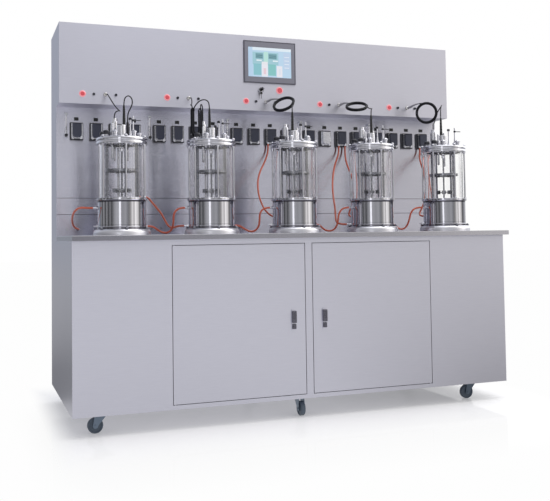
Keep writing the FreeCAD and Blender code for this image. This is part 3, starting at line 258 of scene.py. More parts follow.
def framed(bm, low, high, border, depth):
    """A box whose front is sunk, but for a border."""
    made = block(bm, low, high)
    front = min((face for vert in made for face in vert.link_faces),
                key=lambda face: face.calc_center_median().y)
    bmesh.ops.inset_region(bm, faces=[front], thickness=border, depth=0)
    bmesh.ops.inset_region(bm, faces=[front], thickness=depth * 0.4, depth=0)
    bmesh.ops.translate(bm, verts=front.verts, vec=(0, depth, 0))


def moulded(name, code, rough, pit=2600):
    """Moulding from a spark-eroded tool, or a powder coat: fine pits over an even
    colour, with a gloss that changes a little from place to place."""
    made, tree = blank(name)
    pits = object_noise(tree, (pit, pit, pit), 1.0)
    cloud = object_noise(tree, (18, 18, 18), 2.0)
    plastic = wire(tree, "ShaderNodeBsdfPrincipled", {
        "Base Color": linear(code),
        "Roughness": wandering(tree, cloud, rough - 0.05, rough + 0.05),
        "Normal": wire(tree, "ShaderNodeBump", {
            "Height": pits.outputs["Fac"], "Strength": 0.3,
            "Distance": 0.0001}).outputs["Normal"]})
    shown(tree, plastic.outputs["BSDF"])
    return made


bm = bmesh.new()
half = [size / 2 for size in BEZEL_SIZE]
framed(bm, (BEZEL_AT[0] - half[0], BEZEL_AT[1], BEZEL_AT[2] - half[1]),
       (BEZEL_AT[0] + half[0], CONSOLE_Y, BEZEL_AT[2] + half[1]), RIM_WIDTH, 1.2)
pack("screen_rim", bm, moulded("abs_dark_grey", "#4E4E5A", 0.4), "station",
     "grey_moulding", "screen_bezel")
bm = bmesh.new()
inner = [size / 2 - FRONT_INSET for size in BEZEL_SIZE]
hole = [size / 2 for size in VIEW_SIZE]
face_at = BEZEL_AT[1] + 0.6
corners = [[bm.verts.new((BEZEL_AT[0] + i * x, face_at, BEZEL_AT[2] + j * z))
            for i, j in ((-1, -1), (1, -1), (1, 1), (-1, 1))]
           for x, z in (inner, hole)]
loops = [[bm.edges.new((ring[k], ring[(k + 1) % 4])) for k in range(4)]
         for ring in corners]
bmesh.ops.bridge_loops(bm, edges=loops[0] + loops[1])
bmesh.ops.solidify(bm, geom=bm.faces[:], thickness=0.5)
pack("screen_front", bm, moulded("abs_grey", "#777783", 0.36), "station",
     "grey_moulding")

# The display glows by itself behind dark glass that still gives a soft gloss. Each pane
# lets a little of what lies under it through.
display, tree = blank("display_panel")
across = wire(tree, "ShaderNodeSeparateXYZ",
              {"Vector": wire(tree, "ShaderNodeTexCoord").outputs["Object"]})
PANE_COVER = 0.85
SCREEN_PANES = [
    # left, right, low and high in shares of the view, and colour
    (0.00, 1.00, 0.00, 1.00, "#BDD9EF"), (0.00, 1.00, 0.90, 1.00, "#E9F3FA"),
    (0.00, 0.10, 0.00, 1.00, "#B9D3EC"), (0.10, 0.70, 0.42, 0.84, "#9CC9D2"),
    (0.17, 0.34, 0.62, 0.80, "#6E9CA6"), (0.47, 0.66, 0.62, 0.80, "#6E9CA6"),
    (0.19, 0.31, 0.54, 0.58, "#F6FBFF"), (0.57, 0.69, 0.54, 0.58, "#F6FBFF"),
    (0.36, 0.46, 0.50, 0.86, "#BFE8DD"), (0.12, 0.30, 0.06, 0.44, "#7FBFC6"),
    (0.46, 0.64, 0.06, 0.44, "#79C2BC"), (0.31, 0.45, 0.02, 0.52, "#F2EEF4"),
    (0.66, 0.79, 0.02, 0.40, "#F2EEF4"), (0.35, 0.41, 0.10, 0.30, "#E9C9D4"),
    (0.71, 0.75, 0.10, 0.30, "#DCE3F0"), (0.82, 0.97, 0.30, 0.86, "#C3D4EC"),
    (0.84, 0.95, 0.34, 0.36, "#F4F8FD"), (0.84, 0.95, 0.46, 0.48, "#F4F8FD"),
    (0.84, 0.95, 0.58, 0.60, "#F4F8FD"), (0.84, 0.95, 0.70, 0.72, "#F4F8FD"),
    (0.18, 0.33, 0.72, 0.74, "#3F6670"), (0.48, 0.65, 0.72, 0.74, "#3F6670"),
    (0.18, 0.33, 0.66, 0.68, "#3F6670"), (0.48, 0.65, 0.66, 0.68, "#3F6670"),
]


def within(axis, low, high):
    """1 between two places along an axis, 0 elsewhere."""
    middle = (low + high) / 2
    return wire(tree, "ShaderNodeMath", {0: across.outputs[axis], 1: middle,
                                         2: (high - low) / 2},
                operation="COMPARE").outputs["Value"]


paint = None
for left, right, bottom, top, code in SCREEN_PANES:
    spans = [(BEZEL_AT[0] - hole[0] + share * VIEW_SIZE[0]) * MM
             for share in (left, right)]
    rises = [(BEZEL_AT[2] - hole[1] + share * VIEW_SIZE[1]) * MM
             for share in (bottom, top)]
    if paint is None:
        paint = linear(code)
        continue
    patch = wire(tree, "ShaderNodeMath", {0: within("X", *spans), 1: within("Z", *rises)},
                 operation="MULTIPLY")
    veil = wire(tree, "ShaderNodeMath", {0: patch.outputs["Value"], 1: PANE_COVER},
                operation="MULTIPLY")
    paint = wire(tree, "ShaderNodeMix", {"Factor": veil.outputs["Value"], "A": paint,
                                         "B": linear(code)},
                 data_type="RGBA").outputs["Result"]
lit = wire(tree, "ShaderNodeBsdfPrincipled", {
    "Base Color": linear("#0E1216"), "Roughness": 0.12, "Emission Color": paint,
    "Emission Strength": 0.92})
shown(tree, lit.outputs["BSDF"])
dress(display, "screen_display")

# Controls on the console: lit red push buttons in steel rings, a key switch with its
# key, round sensor sockets, and a threaded cable plug over each vessel. Turned pieces
# stand out of the sheet toward the front.
STATION_X = [-946, -480, -14, 452, 918]
CONTROL_Z = 1719
AUX_Z = 1790
BUTTON_DX = -145
ALARM_X = 49
KEY_X = -68
KEY_RING_Y = 50.5
BOW_FRONT, BOW_BACK = 28, 49


def lathe(bm, outline, at=(0, 0, 0), axis="Z", steps=32):
    """Spins an outline of (radius, height) about an axis through a place: upright, or
    level with its heights toward the front."""
    verts = [bm.verts.new((radius, 0, height)) for radius, height in outline]
    edges = [bm.edges.new(pair) for pair in zip(verts, verts[1:])]
    old = set(bm.verts)
    bmesh.ops.spin(bm, geom=verts + edges, cent=(0, 0, 0), axis=(0, 0, 1),
                   angle=math.tau, steps=steps, use_merge=True)
    made = [vert for vert in bm.verts if vert not in old] + verts
    bmesh.ops.remove_doubles(bm, verts=made, dist=0.001)
    made = [vert for vert in made if vert.is_valid]
    turn = Matrix.Rotation(math.radians(90), 4, "X") if axis == "Y" else Matrix()
    bmesh.ops.transform(bm, verts=made, matrix=Matrix.Translation(at) @ turn)
    return made


def console_piece(bm, outline, x, z, wider=0, steps=32):
    """A turned piece that stands out of the console's front."""
    lathe(bm, [(radius + wider, height) for radius, height in outline],
          (x, CONSOLE_Y, z), "Y", steps)


def lamp_glass(name, code, glow):
    """Red acrylic under a clear gloss, lit from behind."""
    made, tree = blank(name)
    lens = wire(tree, "ShaderNodeBsdfPrincipled", {
        "Base Color": linear("#B23A44"), "Roughness": 0.18,
        "Emission Color": linear(code), "Emission Strength": glow,
        "Coat Weight": 0.6})
    shown(tree, lens.outputs["BSDF"])
    return made


red_lens = lamp_glass("acrylic_red_lit", "#B83A46", 0.42)
for number in range(1, 6):
    dress(red_lens, f"station_button_{number}")
dress(red_lens, "alarm_button")
turned_steel = polished_steel("turned_stainless_steel", "#D6D7DA", 0.16)
dark_socket = moulded("nylon_dark_grey", "#3C3D49", 0.45)
plug_nickel = polished_steel("brass_nickel_plated", "#C9C8C6", 0.22)
dress(polished_steel("key_nickel_plated", "#5A5B62", 0.3), "key_switch")
# The key's bow is a flat black moulding on the blade, over the turning barrel.
bm = bmesh.new()
block(bm, (KEY_X - 1.4, BOW_FRONT, AUX_Z - 9), (KEY_X + 1.4, BOW_BACK, AUX_Z + 9), 4, 3,
      lambda edge: abs((edge.verts[0].co - edge.verts[1].co).x) > 2)
console_piece(bm, [(0, 17), (9, 17), (9.6, 16.4), (9.6, 4), (0, 4)], KEY_X, AUX_Z,
              steps=24)
key_black = moulded("key_bow_black", "#15151B", 0.35)
pack("key_bow", bm, key_black, "key", "dark_moulding")
# The tag's ring hangs loosely on the key's blade and stays upright when the key turns.
bm = bmesh.new()
lathe(bm, [(10, -0.9), (11.8, -0.9), (11.8, 0.9), (10, 0.9), (10, -0.9)],
      (KEY_X, KEY_RING_Y, AUX_Z - 6.4), "Y", 28)
block(bm, (KEY_X - 5, KEY_RING_Y - 1, AUX_Z - 56),
      (KEY_X - 2, KEY_RING_Y + 1, AUX_Z - 17), 0.6)
block(bm, (KEY_X - 9, KEY_RING_Y - 1.4, AUX_Z - 30),
      (KEY_X + 3, KEY_RING_Y + 1.4, AUX_Z - 17), 2.4, 3, depthwise)
pack("key_ring_and_tag", bm, key_black, "station", "dark_moulding")
RING = [(11.4, 0), (15, 0), (15, 2.6), (13.6, 4), (12.2, 4), (11.4, 3), (11.4, 0)]
ALARM_WIDER = 3.2
KEY_WIDER = -2.1
bm = bmesh.new()
for x in STATION_X:
    console_piece(bm, RING, x + BUTTON_DX, CONTROL_Z)
console_piece(bm, RING, ALARM_X, AUX_Z, ALARM_WIDER)
console_piece(bm, RING, KEY_X, AUX_Z, KEY_WIDER)
pack("lamp_rings", bm, turned_steel, "station", "polished_steel", "console_fittings")
# A clear rim round each ring glows pink with the lamp's light.
HALO = [(11.4, 2), (11.4, 4.6), (13.6, 4.8), (17, 3), (18, 1.4), (18, 0), (11.4, 2)]
bm = bmesh.new()
for x in STATION_X:
    console_piece(bm, HALO, x + BUTTON_DX, CONTROL_Z)
console_piece(bm, HALO, ALARM_X, AUX_Z, ALARM_WIDER)
pack("lamp_halos", bm, lamp_glass("acrylic_pink_edge_lit", "#E9A9B0", 0.62), "station",
     "polished_steel")
SOCKET_DX = (-85, 35)
PLUG_DX = -22
bm = bmesh.new()
for x in STATION_X:
    for dx in SOCKET_DX:
        console_piece(bm, [(0, 2), (4.6, 2), (4.6, 7), (5.6, 9), (7, 8.4), (7.5, 6),
                           (7.5, 0)], x + dx, CONTROL_Z, steps=24)
pack("sensor_sockets", bm, dark_socket, "station", "dark_moulding")
bm = bmesh.new()
for x in STATION_X:
    console_piece(bm, [(11, 0), (11, 3), (8, 3), (8, 7), (9, 8), (9, 10), (8.4, 10.4),
                       (9, 11), (9, 13), (8.4, 13.4), (9, 14), (9, 17), (7.4, 19),
                       (4.6, 20), (4.5, 22), (3, 22)], x + PLUG_DX, CONTROL_Z, steps=28)
pack("cable_plugs", bm, plug_nickel, "station", "polished_steel")

# Dosing pumps: black housings on the back panel, each with an aluminium face and a dark
# lift-off rotor cover whose lower corners are round. Two tube guides look out below.
# A small black readout sits over each. One cover is bare metal.
PANEL_Y = 218
PUMP_PITCH = 107
PUMP_Z = 1530
READOUT_Z = 1601
HOUSING_FRONT = PANEL_Y - 16
FACE_FRONT = PANEL_Y - 17
COVER_FRONT = PANEL_Y - 36
PUMP_X = [x + step * PUMP_PITCH for x in STATION_X for step in (-1.5, -0.5, 0.5, 1.5)]
black_housing = moulded("abs_black", "#1B1C26", 0.34)
cover_plastic = moulded("polycarbonate_smoked", "#373A4B", 0.2)
face_metal = polished_steel("aluminium_anodised", "#D5D6DE", 0.27)


def lower_corner(edge):
    """Edges that run front to back at the foot of a piece around the pumps' height."""
    return depthwise(edge) and edge.verts[0].co.z < PUMP_Z


bm = bmesh.new()
for x in PUMP_X:
    block(bm, (x - 36, HOUSING_FRONT, PUMP_Z - 49), (x + 36, PANEL_Y, PUMP_Z + 49), 2.5,
          2, depthwise)
pack("pump_housings", bm, black_housing, "station", "dark_moulding", "pump_heads")
bm = bmesh.new()
for x in PUMP_X:
    block(bm, (x - 29, FACE_FRONT, PUMP_Z - 40),
          (x + 33, HOUSING_FRONT + 0.4, PUMP_Z + 44), 3, 3, depthwise)
    for side in (-1, 1):
        lathe(bm, [(0, 0), (5, 0), (5, 8), (6.6, 9), (6.6, 13), (5, 14), (0, 14)],
              (x + side * 21, PANEL_Y - 22, PUMP_Z - 44), "Z", 16)
        lathe(bm, [(0, 8), (5.4, 8), (6.4, 7.2), (6.6, 0)],
              (x + 2 + side * 25, FACE_FRONT, PUMP_Z - 36), "Y", 20)
pack("pump_faces", bm, face_metal, "station", "polished_steel")
BRIGHT_PUMP = PUMP_X[13]
for name, places, finish in (
        ("pump_covers", [x for x in PUMP_X if x != BRIGHT_PUMP], cover_plastic),
        ("pump_cover_bright", [BRIGHT_PUMP], face_metal)):
    bm = bmesh.new()
    for x in places:
        block(bm, (x - 24, COVER_FRONT, PUMP_Z - 34), (x + 26, FACE_FRONT, PUMP_Z + 42),
              17, 6, lower_corner)
        front = [face for face in bm.faces
                 if abs(face.calc_center_median().y - COVER_FRONT) < 0.01
                 and abs(face.calc_center_median().x - x) < 26]
        bmesh.ops.inset_region(bm, faces=front, thickness=3.5, depth=0)
        bmesh.ops.translate(bm, vec=(0, -2, 0),
                            verts=list({vert for face in front for vert in face.verts}))
    pack(name, bm, finish, "station", "dark_moulding")
bm = bmesh.new()
for x in PUMP_X:
    framed(bm, (x - 12, PANEL_Y - 4, READOUT_Z - 9), (x + 12, PANEL_Y, READOUT_Z + 9), 2,
           1.2)
pack("pump_readout_frames", bm, moulded("abs_black_gloss", "#0F1017", 0.15), "station",
     "dark_moulding", "pump_readouts")

# Door furniture: a ribbed grip cast on each latch lever, and below it the housing of the
# door's lock with its barrel and key slot, both in the levers' dark chrome.
LATCH_Z = 505
LATCH_FACE = -488
GRIP_RIBS = 5
RIB_PITCH = 7
for side in ("left", "right"):
    places = [vert.co.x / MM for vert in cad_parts[f"latch_{side}"].data.vertices]
    x = (min(places) + max(places)) / 2
    bm = bmesh.new()
    block(bm, (x - 12, LATCH_FACE - 10, LATCH_Z - 16), (x + 12, LATCH_FACE, LATCH_Z + 46),
          3, 3)
    for k in range(GRIP_RIBS):
        foot = LATCH_Z + 4 + k * RIB_PITCH
        block(bm, (x - 9, LATCH_FACE - 12, foot), (x + 9, LATCH_FACE - 9, foot + 3.4), 1)
    pack(f"latch_grip_{side}", bm, latch_chrome, f"latch_{side}", "polished_steel")
    bm = bmesh.new()
    block(bm, (x - 11, LATCH_FACE - 5, LATCH_Z - 47), (x + 11, LATCH_FACE, LATCH_Z - 21),
          2.4, 3)
    lathe(bm, [(0, 8), (5.6, 8), (6.6, 7), (7, 5), (7, 4)], (x, LATCH_FACE, LATCH_Z - 34),
          "Y", 24)
    block(bm, (x - 0.8, LATCH_FACE - 8.6, LATCH_Z - 38),
          (x + 0.8, LATCH_FACE - 7, LATCH_Z - 30))
    pack(f"lock_housing_{side}", bm, latch_chrome, f"door_{side}", "polished_steel")

# Gas meters: a glass measuring tube held between two steel blocks, with a float inside
# and a small knob on the needle valve below.
METER_X = [x - 218 for x in STATION_X]
METER_Z = 1506
METER_AXIS_Y = PANEL_Y - 11
steel_block = polished_steel("milled_stainless_steel", "#C4C6CC", 0.2)
bm = bmesh.new()
for x in METER_X:
    for low, high in ((-11, 11), (115, 126)):
        block(bm, (x - 9, PANEL_Y - 22, METER_Z + low), (x + 9, PANEL_Y, METER_Z + high),
              1.5)
    lathe(bm, [(0, 0), (3, 0), (3.4, 2), (3.4, 6), (3, 8), (0, 8)],
          (x, METER_AXIS_Y, METER_Z + 38), "Z", 12)
pack("meter_blocks", bm, steel_block, "station", "polished_steel", "gas_meters")
bm = bmesh.new()
for x in METER_X:
    lathe(bm, [(5, 0), (7, 0), (7, 104), (5, 104), (5, 0)],
          (x, METER_AXIS_Y, METER_Z + 11), "Z", 24)
# Drawn glass tube: clear and smooth, so that only its edges catch the light.
glass, tree = blank("borosilicate_glass")
clear = wire(tree, "ShaderNodeBsdfPrincipled", {
    "Base Color": linear("#FFFFFF"), "Roughness": 0.02, "IOR": 1.47,
    "Transmission Weight": 1.0})
shown(tree, clear.outputs["BSDF"])
pack("meter_tubes", bm, glass, "station", "vessel_glass")
bm = bmesh.new()
for x in METER_X:
    lathe(bm, [(0, 12), (7.5, 12), (9, 10.5), (9, 3), (7, 2), (7, 0)],
          (x, PANEL_Y - 22, METER_Z), "Y", 20)
pack("meter_knobs", bm, black_housing, "station", "dark_moulding")

# Vessel bases: a turned foot plate, and on it the jacketed bowl of rolled sheet with a
# foot ring and a flange, welded and mirror polished. Clamp nuts hold the bowl down.
VESSEL_Y = -305
TABLE_Z = 950
LID_Z = 488
ROD_TURNS = [30 + 60 * k for k in range(6)]
ROD_REACH = 119
CLAMP_REACH = 129


def around(radius, turns, z):
    """Places round each vessel's axis, at a height over the worktop."""
    return [(x + radius * math.cos(math.radians(turn)),
             VESSEL_Y + radius * math.sin(math.radians(turn)), TABLE_Z + z)
            for x in STATION_X for turn in turns]


def turned_set(name, outline, spots, material, slot, *nodes, steps=32):
    """Alike turned pieces, one upright at each place."""
    bm = bmesh.new()
    for spot in spots:
        lathe(bm, outline, spot, steps=steps)
    return pack(name, bm, material, "station", slot, *nodes)


vessel_steel = polished_steel("mirror_polished_stainless", "#C6C6CE", 0.085)
plate_steel = polished_steel("turned_stainless_plate", "#D2D2D9", 0.34)
# A darker copy of the steel whose darkness is painted shade, for the clamp nuts, the
# baffle cages and the turbines.
painted_shade_steel = polished_steel("ground_stainless_in_shade", "#868790", 0.26)
turned_set("base_plates", [(0, 0), (141.4, 0), (142, 0.8), (142, 13), (141, 18.5),
                           (138.5, 23.5), (135.5, 27), (132, 29.4), (129, 30), (0, 30)],
           around(0, [0], 0), plate_steel, "polished_steel", "vessel_bases", steps=96)
# The bowls are mirror polished round their axes. Darker lines over the foot ring, above
# it and under the flange are painted shade.
BOWL_SPAN = 200
bowl_finish, tree = blank("polished_stainless_with_painted_shade_lines")
rise = wire(tree, "ShaderNodeSeparateXYZ",
            {"Vector": wire(tree, "ShaderNodeTexCoord").outputs["Object"]})
painted_shade_ramp = wire(tree, "ShaderNodeValToRGB", {"Fac": wire(tree, "ShaderNodeMapRange", {
    "Value": rise.outputs["Z"], "From Min": TABLE_Z * MM,
    "From Max": (TABLE_Z + BOWL_SPAN) * MM}).outputs["Result"]})
stops = painted_shade_ramp.color_ramp.elements
stops.remove(stops[-1])
# Heights and colours of the painted shade lines round each bowl.
PAINTED_SHADE_LINES = (
    (980, "#C6C6CE"), (982, "#5F5E67"), (984, "#A3A2AB"), (990, "#6E6D76"),
    (993, "#C6C6CE"), (1001, "#BDBDC6"), (1002, "#77767F"), (1003, "#C6C6CE"),
    (1112, "#C6C6CE"), (1115, "#8B8A93"), (1118, "#4A4952"), (1121.5, "#4A4952"),
    (1123.5, "#C6C6CE"), (1150, "#C6C6CE"))
for k, (level, code) in enumerate(PAINTED_SHADE_LINES):
    place = (level - TABLE_Z) / BOWL_SPAN
    stop = stops[0] if k == 0 else stops.new(place)
    stop.position = place
    stop.color = linear(code)
marks = object_noise(tree, (60, 60, 900), 2.0)
bowl_steel = wire(tree, "ShaderNodeBsdfPrincipled", {
    "Base Color": painted_shade_ramp.outputs["Color"], "Metallic": 1.0,
    "Roughness": wandering(tree, marks, 0.06, 0.1),
    "Normal": wire(tree, "ShaderNodeBump", {
        "Height": marks.outputs["Fac"], "Strength": 0.1,
        "Distance": 0.0001}).outputs["Normal"]})
shown(tree, bowl_steel.outputs["BSDF"])
turned_set("jacket_bowls", [
    (0, 58), (70, 63), (98, 74), (100, 80), (100, 185.4), (100.6, 186), (125.4, 186),
    (127, 184.6), (127, 175.6), (125.6, 173.4), (121.4, 172.4), (120.4, 170.6),
    (120, 168), (120, 44), (120.5, 42.6), (122, 41.8), (123.6, 41.4), (124, 40.6),
    (124, 31), (123, 30), (117, 30), (117, 169), (103, 169), (103, 82), (98, 76),
    (70, 60), (0, 55)], around(0, [0], 0), bowl_finish, "polished_steel", steps=96)
turned_set("foot_clamp_nuts", [(0, 0), (8.6, 0), (9.2, 0.8), (9.2, 7.4), (8.2, 8.6),
                               (4.2, 8.6), (4.2, 12), (3.2, 13), (0, 13)],
           around(CLAMP_REACH, ROD_TURNS, 30), painted_shade_steel, "polished_steel", steps=6)

# Glass: a plain tube of borosilicate between the flange and the clamp ring, held by the
# pull of the tie rods.
dress(glass, "glass_cylinders")

# Head: the clamp ring on the glass and the lid on it, turned and mirror polished, with
# a groove between them, six tie rods below and six dome nuts on top.
turned_set("clamp_rings", [
    (96, 452.6), (96.6, 452), (125.8, 452), (127.4, 452.8), (128, 454.2), (128, 463.6),
    (127, 465.4), (125.4, 466), (124, 466), (124, 468), (96, 468), (96, 452.6)],
    around(0, [0], 0), vessel_steel, "polished_steel", "head_plates", steps=96)
turned_set("lids", [
    (5.4, 468), (124, 468), (124, 470), (125.4, 470), (127, 470.6), (128, 472.4),
    (128, 480.6), (127, 484), (124.4, 486.8), (121, 488), (5.4, 488), (5.4, 468)],
    around(0, [0], 0), vessel_steel, "polished_steel", steps=96)
turned_set("tie_rod_bars", [(0, 186), (7.4, 186), (7.4, 192), (6.4, 193), (4.5, 193.4),
                            (4.5, 444.6), (6.4, 445), (7.4, 446), (7.4, 452), (0, 452)],
           around(ROD_REACH, ROD_TURNS, 0), vessel_steel, "polished_steel", "tie_rods",
           steps=20)
turned_set("lid_dome_nuts", [(0, 0), (8.6, 0), (9.2, 0.7), (9.2, 5), (8, 5.6), (7, 7.4),
                             (4.6, 8.8), (0, 9.2)],
           around(ROD_REACH, ROD_TURNS, LID_Z), vessel_steel, "polished_steel",
           steps=12)

# Inside the glass: a baffle cage of dull ground strip, the turbines on their shaft, and
# the shaft's mechanical seal under the lid.
# Cage and turbines take the steel darkened with painted shade.
dress(painted_shade_steel, "baffle_cages", *[f"agitator_{number}" for number in range(1, 6)])
turned_set("shaft_seals", [(5.6, 468), (19, 468), (19, 455), (17, 453), (13, 452),
                           (13, 438), (10, 436), (9.4, 424), (8, 421), (5.6, 421),
                           (5.6, 468)],
           around(0, [0], 0), vessel_steel, "polished_steel")

# Drive cans: the motors' housings on the lids, turned and satin polished. A ribbed
# rubber boot on each relieves the strain of the motor's lead.
satin_steel = polished_steel("satin_polished_stainless", "#D2D2D8", 0.2)
turned_set("motor_cans", [(5.6, 0), (29, 0), (30, 1), (30, 9.4), (28.6, 11.4), (24, 12),
                          (23, 13.4), (23, 58), (22.2, 58.6), (22.2, 60), (23, 60.6),
                          (23, 64), (22, 65.6), (20, 66), (0, 66)],
           around(0, [0], LID_Z), satin_steel, "polished_steel", "drive_cans", steps=48)
BOOT_RIBS = 9
BOOT_SHIFTS = (12, -7, -7, 4, -10)
boot = [(0, 0), (8, 0), (8, 5)]
for k in range(BOOT_RIBS):
    girth, foot = 8 - k * 0.2, 5 + k * 9
    boot += [(girth, foot + 1), (girth, foot + 6), (girth - 1.4, foot + 7),
             (girth - 1.4, foot + 8.4)]
turned_set("strain_boots", boot + [(6, 88), (4.6, 100), (3.6, 104), (0, 104)],
           [(x + shift, VESSEL_Y, TABLE_Z + LID_Z + 66)
            for x, shift in zip(STATION_X, BOOT_SHIFTS)],
           moulded("rubber_black", "#0C0C10", 0.5), "cable_jacket", "cable_boots",
           steps=20)

# Probes: a tall sensor housing, a screwed gland and a slim head on each lid, each with
# a rod of drawn steel that reaches down into the vessel.
ROD_TIP = -110
PROBE_REACH = 64
HOUSING_TURN, GLAND_TURN, SLIM_TURN = 115, 215, 52
turned_set("probe_rods", [(0, ROD_TIP), (3, ROD_TIP + 0.6), (6, ROD_TIP + 4), (6, 0),
                          (6, 1), (0, 1)],
           around(PROBE_REACH, (HOUSING_TURN, GLAND_TURN, SLIM_TURN), LID_Z),
           vessel_steel, "polished_steel", "probes", steps=20)
turned_set("sensor_housings", [
    (0, 0), (16, 0), (17, 1), (17, 30), (16.2, 31), (16.2, 33), (17, 34), (17, 88),
    (16, 91), (13, 93), (12, 94), (12, 104), (11, 106.4), (9, 107), (0, 107)],
    around(PROBE_REACH, [HOUSING_TURN], LID_Z), satin_steel, "polished_steel", steps=32)
turned_set("probe_glands", [
    (0, 0), (9.4, 0), (10, 0.6), (10, 15), (9, 16), (9, 18), (10, 19), (10, 28),
    (8.4, 33), (6.2, 34), (6, 36), (6, 63), (5.4, 66), (4, 68), (0, 68)],
    around(PROBE_REACH, [GLAND_TURN], LID_Z), vessel_steel, "polished_steel", steps=20)
SLIM = [(0, 0), (10.4, 0), (11, 0.6), (11, 8), (10.2, 8.8), (10.2, 10.4), (11, 11.2),
        (11, 64), (10, 66), (7.6, 67), (7, 68), (7, 86), (6, 88), (0, 88)]
heads = around(PROBE_REACH, [SLIM_TURN], LID_Z)
turned_set("slim_heads_black", SLIM, heads[:2], black_housing, "dark_moulding", steps=24)
turned_set("slim_heads_steel", SLIM, heads[2:], satin_steel, "polished_steel", steps=24)

# Lid ports and valves: capped ports with milled caps, two of them under black knobs, a
# tap with a black knob and a small lever valve on each lid, all screwed into it.
PORT_REACH = 94
PORT_TURNS = (10, 60, 165, 207, 240, 300)
KNOB_TURNS = (165, 207)
turned_set("capped_ports", [(0, 0), (12, 0), (12, 6), (10.6, 7), (10.6, 12), (12, 13),
                            (12, 20.6), (14.4, 21), (15, 21.8), (15, 25.4), (14, 26.4),
                            (10.4, 29.4), (8, 31), (5, 32), (0, 32)],
           around(PORT_REACH, PORT_TURNS, LID_Z), vessel_steel, "polished_steel",
           "lid_ports", steps=24)
turned_set("port_knobs", [(0, 12), (13, 12), (15.4, 14), (16, 17), (16, 27), (15.2, 29),
                          (12, 32), (6, 34), (0, 34)],
           around(PORT_REACH, KNOB_TURNS, LID_Z), black_housing, "dark_moulding",
           steps=24)
STEM = [(0, 0), (9.4, 0), (10, 0.8), (9, 18), (7, 20), (5, 34), (3.5, 50), (3.5, 96)]
taps = around(46, [11], LID_Z)
valves = around(70, [314], LID_Z)
turned_set("tap_stems", STEM + [(0, 96)], taps, vessel_steel, "polished_steel", steps=20)
turned_set("tap_knobs", [(0, 95), (7, 95), (8, 96), (8, 99), (7.2, 100), (8, 101),
                         (8, 105), (6, 107), (0, 107)],
           taps, black_housing, "dark_moulding", steps=20)
turned_set("valve_stems", STEM + [(3.5, 106), (2.6, 107), (0, 107)], valves,
           vessel_steel, "polished_steel", steps=20)
bm = bmesh.new()
for x, y, z in valves:
    block(bm, (x - 3, y - 3, z + 83), (x + 38, y + 3, z + 87), 1.6, 3)
    lathe(bm, [(0, 80), (5.4, 80), (6, 80.8), (6, 89.2), (5.4, 90), (0, 90)], (x, y, z),
          "Z", 20)
pack("valve_levers", bm, black_housing, "station", "dark_moulding")
dress(vessel_steel, "hose_fittings")

# Casters: swivel forks of pressed and zinc-plated steel on plates screwed under the
# cabinet, with wheels of dark rubber that look blue-grey in the shade.
CASTERS = [f"{row}_{side}" for row in ("front", "rear")
           for side in ("left", "middle", "right")]
dress(polished_steel("zinc_plated_steel", "#6B7786", 0.36), "caster_plates",
      *[f"caster_fork_{place}" for place in CASTERS])
dress(moulded("rubber_dark", "#465260", 0.5),
      *[f"caster_wheel_{place}" for place in CASTERS])

# Inside the cabinet and the tower: powder-coated cases of the circulation units and the
# control gear, seen when the doors stand open.
dress(moulded("powder_coat_grey", "#8C9099", 0.5, 900), "circulation_units",
      "control_gear")

# Hoses: peroxide-cured silicone, orange-red and slightly cloudy, pushed on barbs. They
# run from the back panel to the first jacket, from jacket to jacket, and from pumps.
silicone, tree = blank("silicone_orange_red")
bloom = object_noise(tree, (40, 40, 40), 3.0)
skin = wire(tree, "ShaderNodeMix", {"Factor": bloom.outputs["Fac"],
                                    "A": linear("#B04630"), "B": linear("#C4634A")},
            data_type="RGBA")
hose_rubber = wire(tree, "ShaderNodeBsdfPrincipled", {
    "Base Color": skin.outputs["Result"], "Roughness": 0.38,
    "Subsurface Weight": 0.08, "Subsurface Radius": (0.004, 0.001, 0.0008)})
shown(tree, hose_rubber.outputs["BSDF"])
HOSE = 10
FEED_LENGTH = 0.573
BYPASS_LENGTH = 0.512
LINK_LENGTH = 0.303
DOSING_LENGTHS = (0.644, 0.749, 0.633, 0.647, 0.674)
JACKET_FEED = [(-1090.3, -305, 1087), (-1122, -305, 1087), (-1149, -292, 1090),
               (-1167, -262, 1081), (-1175, -216, 1063), (-1171, -140, 1045),
               (-1161, -40, 1027), (-1145, 50, 1008), (-1131, 106, 996),
               (-1112, 140, 989), (-1101, 165, 987), (-1101, 193.7, 987)]
JACKET_BYPASS = [(-908.7, -165.6, 1040), (-900.4, -134.7, 1040), (-880, -112, 1066),
                 (-854, -104, 1110), (-830, -101, 1141), (-802, -105, 1156),
                 (-774, -118, 1146), (-756, -130, 1120), (-738, -142, 1096),
                 (-714, -160, 1062), (-699, -180, 1024), (-688, -206, 994),
                 (-669, -230, 984), (-647.5, -244, 995), (-615.6, -255.6, 995)]
JACKET_LINKS = [
    [(135.6, -255.6, 995), (167.5, -244, 995), (194, -238, 975), (220, -246, 960),
     (246, -262, 960), (264, -276, 982), (266, -290, 1017), (264, -300, 1057),
     (288, -305, 1087), (321.7, -305, 1087)],
    [(135.6, -255.6, 995), (167.5, -244, 995), (197, -240, 977), (225, -250, 961),
     (250, -264, 962), (267, -277, 985), (269, -290, 1020), (266, -300, 1059),
     (289, -305, 1087), (321.7, -305, 1087)],
    [(135.6, -255.6, 995), (167.5, -244, 995), (191, -236, 974), (214, -243, 959.5),
     (240, -260, 959.5), (259, -275, 981), (262, -289, 1016), (262, -300, 1056),
     (287, -305, 1087), (321.7, -305, 1087)],
    [(135.6, -255.6, 995), (167.5, -244, 995), (186, -240, 977), (206, -247, 963),
     (227, -261, 966), (240, -276, 990), (245, -289, 1024), (249, -299, 1060),
     (276, -305, 1087), (321.7, -305, 1087)],
]
